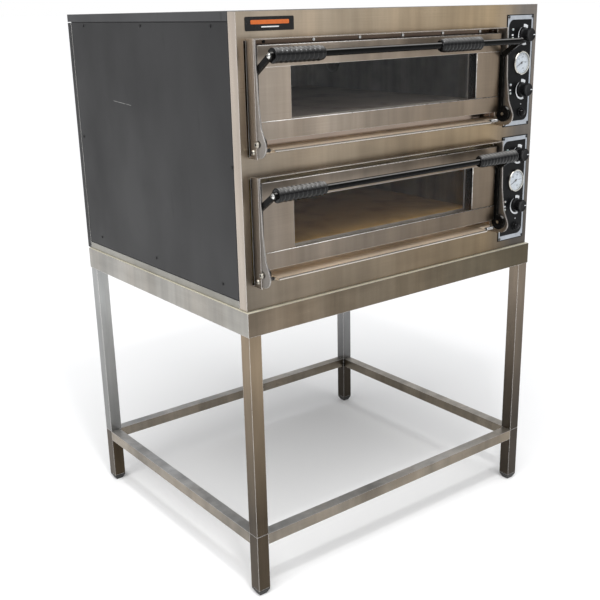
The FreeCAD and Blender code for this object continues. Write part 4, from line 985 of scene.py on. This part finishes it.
def dial_ticks(centre):
    """Long and short strokes round the dial, clockwise from its cold end."""
    strokes = []
    for tick in range(TICKS + 1):
        angle = math.radians(DIAL_START - DIAL_SWEEP * tick / TICKS)
        reach = Vector((math.cos(angle), math.sin(angle)))
        side = Vector((-reach.y, reach.x))
        major = tick % 7 == 0
        inner = (21.5 if major else 23.4) * MM
        half = (0.42 if major else 0.22) * MM
        ends = []
        for distance, turn in ((inner, -half), (TICK_TIP, -half), (TICK_TIP, half), (inner, half)):
            point = reach * distance + side * turn
            ends.append((centre[0] + point.x, centre[1] + point.y))
        strokes.append(inlay(ends, DIAL_PRINT))
    return joined(strokes)


def numeral(text, centre, size, depth):
    """A printed number, centred on a point of a plane that faces the front."""
    curve = bpy.data.curves.new("numeral", "FONT")
    curve.body = text
    curve.size = size
    curve.align_x = "CENTER"
    curve.align_y = "CENTER"
    holder = bpy.data.objects.new("numeral", curve)
    mesh = bpy.data.meshes.new_from_object(holder)
    spots = [vertex.co for vertex in mesh.vertices]
    vertices = [Vector((centre[0] + spot.x, depth, centre[1] + spot.y)) for spot in spots]
    faces = [list(face.vertices) for face in mesh.polygons]
    bpy.data.objects.remove(holder)
    bpy.data.curves.remove(curve)
    bpy.data.meshes.remove(mesh)
    return vertices, faces


def dial_numbers(centre):
    """The hundreds of degrees, from nought at the cold end."""
    shapes = []
    for index in range(DIAL_NUMBERS):
        degrees = DIAL_START - DIAL_SWEEP * index / (DIAL_NUMBERS - 1)
        spot = around(centre, 16.6 * MM, degrees)
        shapes.append(numeral(str(100 * index), spot, 5 * MM, DIAL_PRINT))
    return joined(shapes)


def make_control_panel(index, deck):
    top = OVEN_TOP - FASCIA_PITCH * index
    piece(f"{deck}_fascia_border", "oven", "silver_ink", printed_border(top))
    scales = joined([printed_scale(top, drop) for drop in KNOB_DROPS] + [printed_marks(top)])
    piece(f"{deck}_fascia_marks", "oven", "white_ink", scales)
    for name, drop in zip(KNOB_NAMES, KNOB_DROPS):
        make_knob(deck, name, (KNOB_X, top - drop))
    centre = (DIAL_X, top - DIAL_DROP)
    printed = joined([dial_ticks(centre), dial_numbers(centre)])
    piece(f"{deck}_dial_print", "oven", "black_ink", printed)


# ---- doors ----

RIBS = 9
GRIP_STEPS = 64
LOW_RAIL_HIGH = 0.041
TOP_RAIL_HIGH = 0.0475
STILE_BACK = 0.0015
WINDOW_HALF = 0.3055


def grip_profile(length):
    """A ribbed handlebar grip: closed end at nought, ribs, and a collar at its far end."""
    closed = [(0, 8.2), (0.4, 10.5), (2, 13.6), (5, 15.3), (8, 15.8)]
    start = 10
    end = length / MM - 17
    pitch = (end - start) / RIBS
    steps = 10
    ribs = []
    for step in range(RIBS * steps + 1):
        phase = (step % steps) / steps
        ribs.append((start + pitch * step / steps, 14.5 + 2.5 * math.sin(math.pi * phase) ** 0.7))
    far_end = [
        (15.5, 16.2), (13, 16.6), (8, 16.8), (6.5, 16.2), (6, 15.6), (5.4, 16.2), (4.2, 17), (1.8, 17),
        (0.5, 16.4), (0, 14.5), (0, 8.2),
    ]
    collar = [(length / MM - back, radius) for back, radius in far_end]
    return in_metres(closed + ribs + collar)


def make_grips(deck):
    """The two grips of a door, each with its collar towards the nearer arm."""
    for side, (low, high) in zip(("left", "right"), islands(f"{deck}_grips")):
        middle = (low + high) / 2
        length = high.x - low.x
        outwards = -1 if side == "left" else 1
        closed_end = high.x if side == "left" else low.x
        place = along((outwards, 0, 0), (closed_end, middle.y, middle.z))
        shape = moved(turned(grip_profile(length), GRIP_STEPS), place)
        grip = piece(f"{deck}_{side}_grip", f"{deck}_door", "grip", shape, True)
        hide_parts(f"{deck}_grips")


STEPS_A_TURN = 18
COIL_TURNS = 13


def helix(start, end, centre, radius):
    """Points of a coil about a line along x."""
    steps = STEPS_A_TURN * COIL_TURNS
    points = []
    for step in range(steps + 1):
        angle = 2 * math.pi * COIL_TURNS * step / steps
        across = start + (end - start) * step / steps
        deep = centre[0] + radius * math.cos(angle)
        points.append(Vector((across, deep, centre[1] + radius * math.sin(angle))))
    return points


def make_springs():
    """Close-wound wire coils between black washers, over the doors' spring pins."""
    wire = 0.75 * MM
    coil_radius = 3.65 * MM
    shortest = 20 * MM
    rim = in_metres([(0, 2.6), (0, 4.2), (0.3, 4.7), (1.7, 4.7), (2, 4.2), (2, 2.6)])
    coils = []
    washers = []
    spans = [box for box in islands("door_springs") if box[1].x - box[0].x > shortest]
    for low, high in spans:
        centre = ((low.y + high.y) / 2, (low.z + high.z) / 2)
        margin = 2.2 * MM
        coils.append(swept(helix(low.x + margin, high.x - margin, centre, coil_radius), wire))
        for end, axis in ((low.x, 1), (high.x, -1)):
            washers.append(moved(turned(rim, 40), along((axis, 0, 0), (end, *centre))))
    coil = piece("spring_coils", "oven", "spring_wire", joined(coils), True)
    # Painted light and shade: the right springs take the bright copy of the dark wire.
    coil.data.materials.append(LOOKS["bright_wire"])
    for face in coil.data.polygons:
        face.material_index = int(face.center.x > 0)
    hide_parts("door_springs")
    piece("spring_washers", "oven", "washer", joined(washers), True)


def make_rolled_edges(deck):
    """Fine beads where the door's rails, the window's jamb and the hood are folded over, near white to
    paint highlight lines along them.
    """
    low, high = (Vector(corner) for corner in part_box(f"{deck}_door_frame"))
    bead = 0.9 * MM
    front = low.y
    rail_top = low.z + LOW_RAIL_HIGH
    left = low.x + bead
    right = high.x - bead
    jamb = DOOR_X + WINDOW_HALF
    lines = [
        ((left, front, rail_top), (right, front, rail_top)),
        ((left, front, high.z - bead), (right, front, high.z - bead)),
        ((jamb, front + STILE_BACK, rail_top), (jamb, front + STILE_BACK, high.z - TOP_RAIL_HIGH)),
    ]
    beads = [swept([Vector(end) for end in line], bead) for line in lines]
    piece(f"{deck}_door_beads", f"{deck}_door", "edge", joined(beads), True)
    low, high = (Vector(corner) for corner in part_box(f"{deck}_door_surround"))
    hood = [Vector((across, low.y + bead, high.z - bead)) for across in (low.x + bead, high.x - bead)]
    piece(f"{deck}_hood_bead", "oven", "edge", swept(hood, bead), True)


def make_apron_bead():
    """The folded edge along the top of the apron, in a pale colour that paints a highlight line."""
    low, high = (Vector(corner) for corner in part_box("stand_top_rails"))
    bead = 1.5 * MM
    corners = [(low.x, high.y), (low.x, low.y), (high.x, low.y), (high.x, high.y)]
    shapes = []
    for ends in zip(corners, corners[1:]):
        inner = []
        for across, deep in ends:
            within = min(max(across, low.x + bead), high.x - bead)
            inner.append(Vector((within, max(deep, low.y + bead), high.z - bead)))
        shapes.append(swept(inner, bead))
    piece("apron_bead", "oven", "fold_edge", joined(shapes), True)


# ---- screw recesses and badge ----


def cross_mark(size):
    """A cross-shaped patch in the xy plane."""
    arm = size * 0.26
    corners = [
        (arm, -arm), (size, -arm), (size, arm), (arm, arm), (arm, size), (-arm, size),
        (-arm, arm), (-size, arm), (-size, -arm), (-arm, -arm), (-arm, -size), (arm, -size),
    ]
    vertices = [Vector((across, up, 0)) for across, up in corners]
    return vertices, [[0, 1, 2, 3], [3, 4, 5, 6], [6, 7, 8, 9], [9, 10, 11, 0], [0, 3, 6, 9]]


def hexagon_mark(size):
    """A hexagonal patch in the xy plane."""
    vertices = [Vector((*around((0, 0), size, 60 * side), 0)) for side in range(6)]
    return vertices, [list(range(6))]


def outer_face(low, high):
    """The way a screw's head points and the middle of its top."""
    middle = (low + high) / 2
    long_way = max(range(3), key=lambda axis: high[axis] - low[axis])
    if long_way == 1:
        return Vector((0, -1, 0)), Vector((middle.x, low.y, middle.z))
    if middle.x < 0:
        return Vector((-1, 0, 0)), Vector((low.x, middle.y, middle.z))
    return Vector((1, 0, 0)), Vector((high.x, middle.y, middle.z))


BAR_SPLIT_X = -0.1


def side_sockets(node, split, size):
    """Hexagonal sockets on heads that point left or right, away from a dividing place."""
    marks = []
    for low, high in islands(node):
        middle = (low + high) / 2
        way = Vector((-1 if middle.x < split else 1, 0, 0))
        top = Vector((low.x if way.x < 0 else high.x, middle.y, middle.z))
        marks.append(moved(hexagon_mark(size), along(way, top + way * 0.05 * MM)))
    return joined(marks)


def make_recesses():
    """Driver recesses on the screw and bolt heads."""
    crosses = []
    for low, high in islands("casing_screws"):
        way, top = outer_face(low, high)
        crosses.append(moved(cross_mark(1.7 * MM), along(way, top + way * 0.06 * MM)))
    piece("screw_recesses", "oven", "socket", joined(crosses))
    for deck in DECKS:
        sockets = side_sockets(f"{deck}_bar_screws", BAR_SPLIT_X, 2.2 * MM)
        piece(f"{deck}_bar_screw_sockets", f"{deck}_door", "socket", sockets)
    sockets = side_sockets("hinge_bolts", DOOR_X, 3.2 * MM)
    piece("hinge_bolt_sockets", "oven", "socket", sockets)


def make_scratch():
    """A fine broken scratch in the left panel's paint."""
    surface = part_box("left_side_panel")[0][0] - 0.1 * MM
    start = Vector((surface, 0.215, 1.226))
    dashes = []
    run = Vector((0, -MM, -0.06 * MM))
    rise = Vector((0, 0, 0.55 * MM))
    for offset, length in ((0, 22), (26, 40), (72, 26)):
        near = start + run * offset
        far = near + run * length
        dashes.append(([near, far, far + rise, near + rise], [[0, 1, 2, 3]]))
    piece("panel_scratch", "oven", "scratch", joined(dashes))


def make_badge_stripes():
    """Two plain stripes on the blank badge."""
    low, high = (Vector(corner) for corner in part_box("badge"))
    depth = low.y - 0.1 * MM
    middle = (low.z + high.z) / 2
    for name, look, inset, under, over, corner in (
        ("badge_stripe", "orange_ink", 14, -1, 8, 2),
        ("badge_underline", "white_ink", 42, -8, -5.4, 0.9),
    ):
        across = (low.x + inset * MM, high.x - inset * MM)
        heights = (middle + under * MM, middle + over * MM)
        outline = rounded_outline(*across, *heights, (corner * MM,) * 4)
        piece(name, "oven", look, inlay(outline, depth))


# ---- studio ----

FLOOR_REACH = 600
MIDDLE = (0, 0, 0.8)
LENS_LENGTH = 55.264
SENSOR_WIDTH = 36
CAMERA_PLACE = (-1.642158, -2.093814, 1.454056)
CAMERA_TURNS = (72.39548, 1.24147, -37.66636)


def make_floor():
    ways = ((-1, -1), (1, -1), (1, 1), (-1, 1))
    corners = [(across * FLOOR_REACH, deep * FLOOR_REACH, 0) for across, deep in ways]
    mesh = bpy.data.meshes.new("floor")
    mesh.from_pydata(corners, [], [[0, 1, 2, 3]])
    mesh.materials.append(LOOKS["floor"])
    floor = placed("floor", mesh)


def make_world(colour, strength):
    """Even light from all round, in front of a white backdrop."""
    world = bpy.data.worlds.new("studio")
    world.use_nodes = True
    nodes = world.node_tree.nodes
    links = world.node_tree.links
    light = nodes["Background"]
    light.inputs["Color"].default_value = (*colour, 1)
    light.inputs["Strength"].default_value = strength
    backdrop = nodes.new("ShaderNodeBackground")
    backdrop.inputs["Color"].default_value = (1, 1, 1, 1)
    ray = nodes.new("ShaderNodeLightPath")
    choice = nodes.new("ShaderNodeMixShader")
    links.new(ray.outputs["Is Camera Ray"], choice.inputs["Fac"])
    links.new(light.outputs["Background"], choice.inputs[1])
    links.new(backdrop.outputs["Background"], choice.inputs[2])
    links.new(choice.outputs["Shader"], nodes["World Output"].inputs["Surface"])
    bpy.context.scene.world = world


def make_sun(direction, strength, width):
    """Light of one direction, softened by a wide angle."""
    lamp = bpy.data.lights.new("sky_panel", "SUN")
    lamp.energy = strength
    lamp.angle = math.radians(width)
    item = placed("sky_panel", lamp)
    item.rotation_euler = Vector(direction).to_track_quat("-Z", "Y").to_euler()


def make_light(name, place, size, power):
    """A square soft box that shines at the oven's middle."""
    lamp = bpy.data.lights.new(name, "AREA")
    lamp.size = size
    lamp.energy = power
    item = placed(name, lamp)
    item.location = place
    item.rotation_euler = (Vector(MIDDLE) - Vector(place)).to_track_quat("-Z", "Y").to_euler()


def make_camera():
    lens = bpy.data.cameras.new("camera")
    lens.lens = LENS_LENGTH
    lens.sensor_width = SENSOR_WIDTH
    item = placed("camera", lens)
    item.location = CAMERA_PLACE
    item.rotation_euler = Euler([math.radians(turn) for turn in CAMERA_TURNS])
    bpy.context.scene.camera = item


def make_studio():
    make_floor()
    make_world((0.97, 0.98, 1.0), 0.5)
    make_sun((0.35, 0.45, -1), 2.2, 60)
    make_light("key", (-1.0, -1.8, 4.4), 0.32, 36)
    make_light("side", (-4.0, -0.6, 2.2), 1.6, 30)
    bpy.context.scene.view_settings.view_transform = "Standard"


finish_plain_nodes()
finish_mixed_nodes()
for number, deck_name in enumerate(DECKS):
    make_control_panel(number, deck_name)
    make_grips(deck_name)
    make_rolled_edges(deck_name)
make_springs()
make_apron_bead()
make_recesses()
make_scratch()
make_badge_stripes()
make_studio()
make_camera()
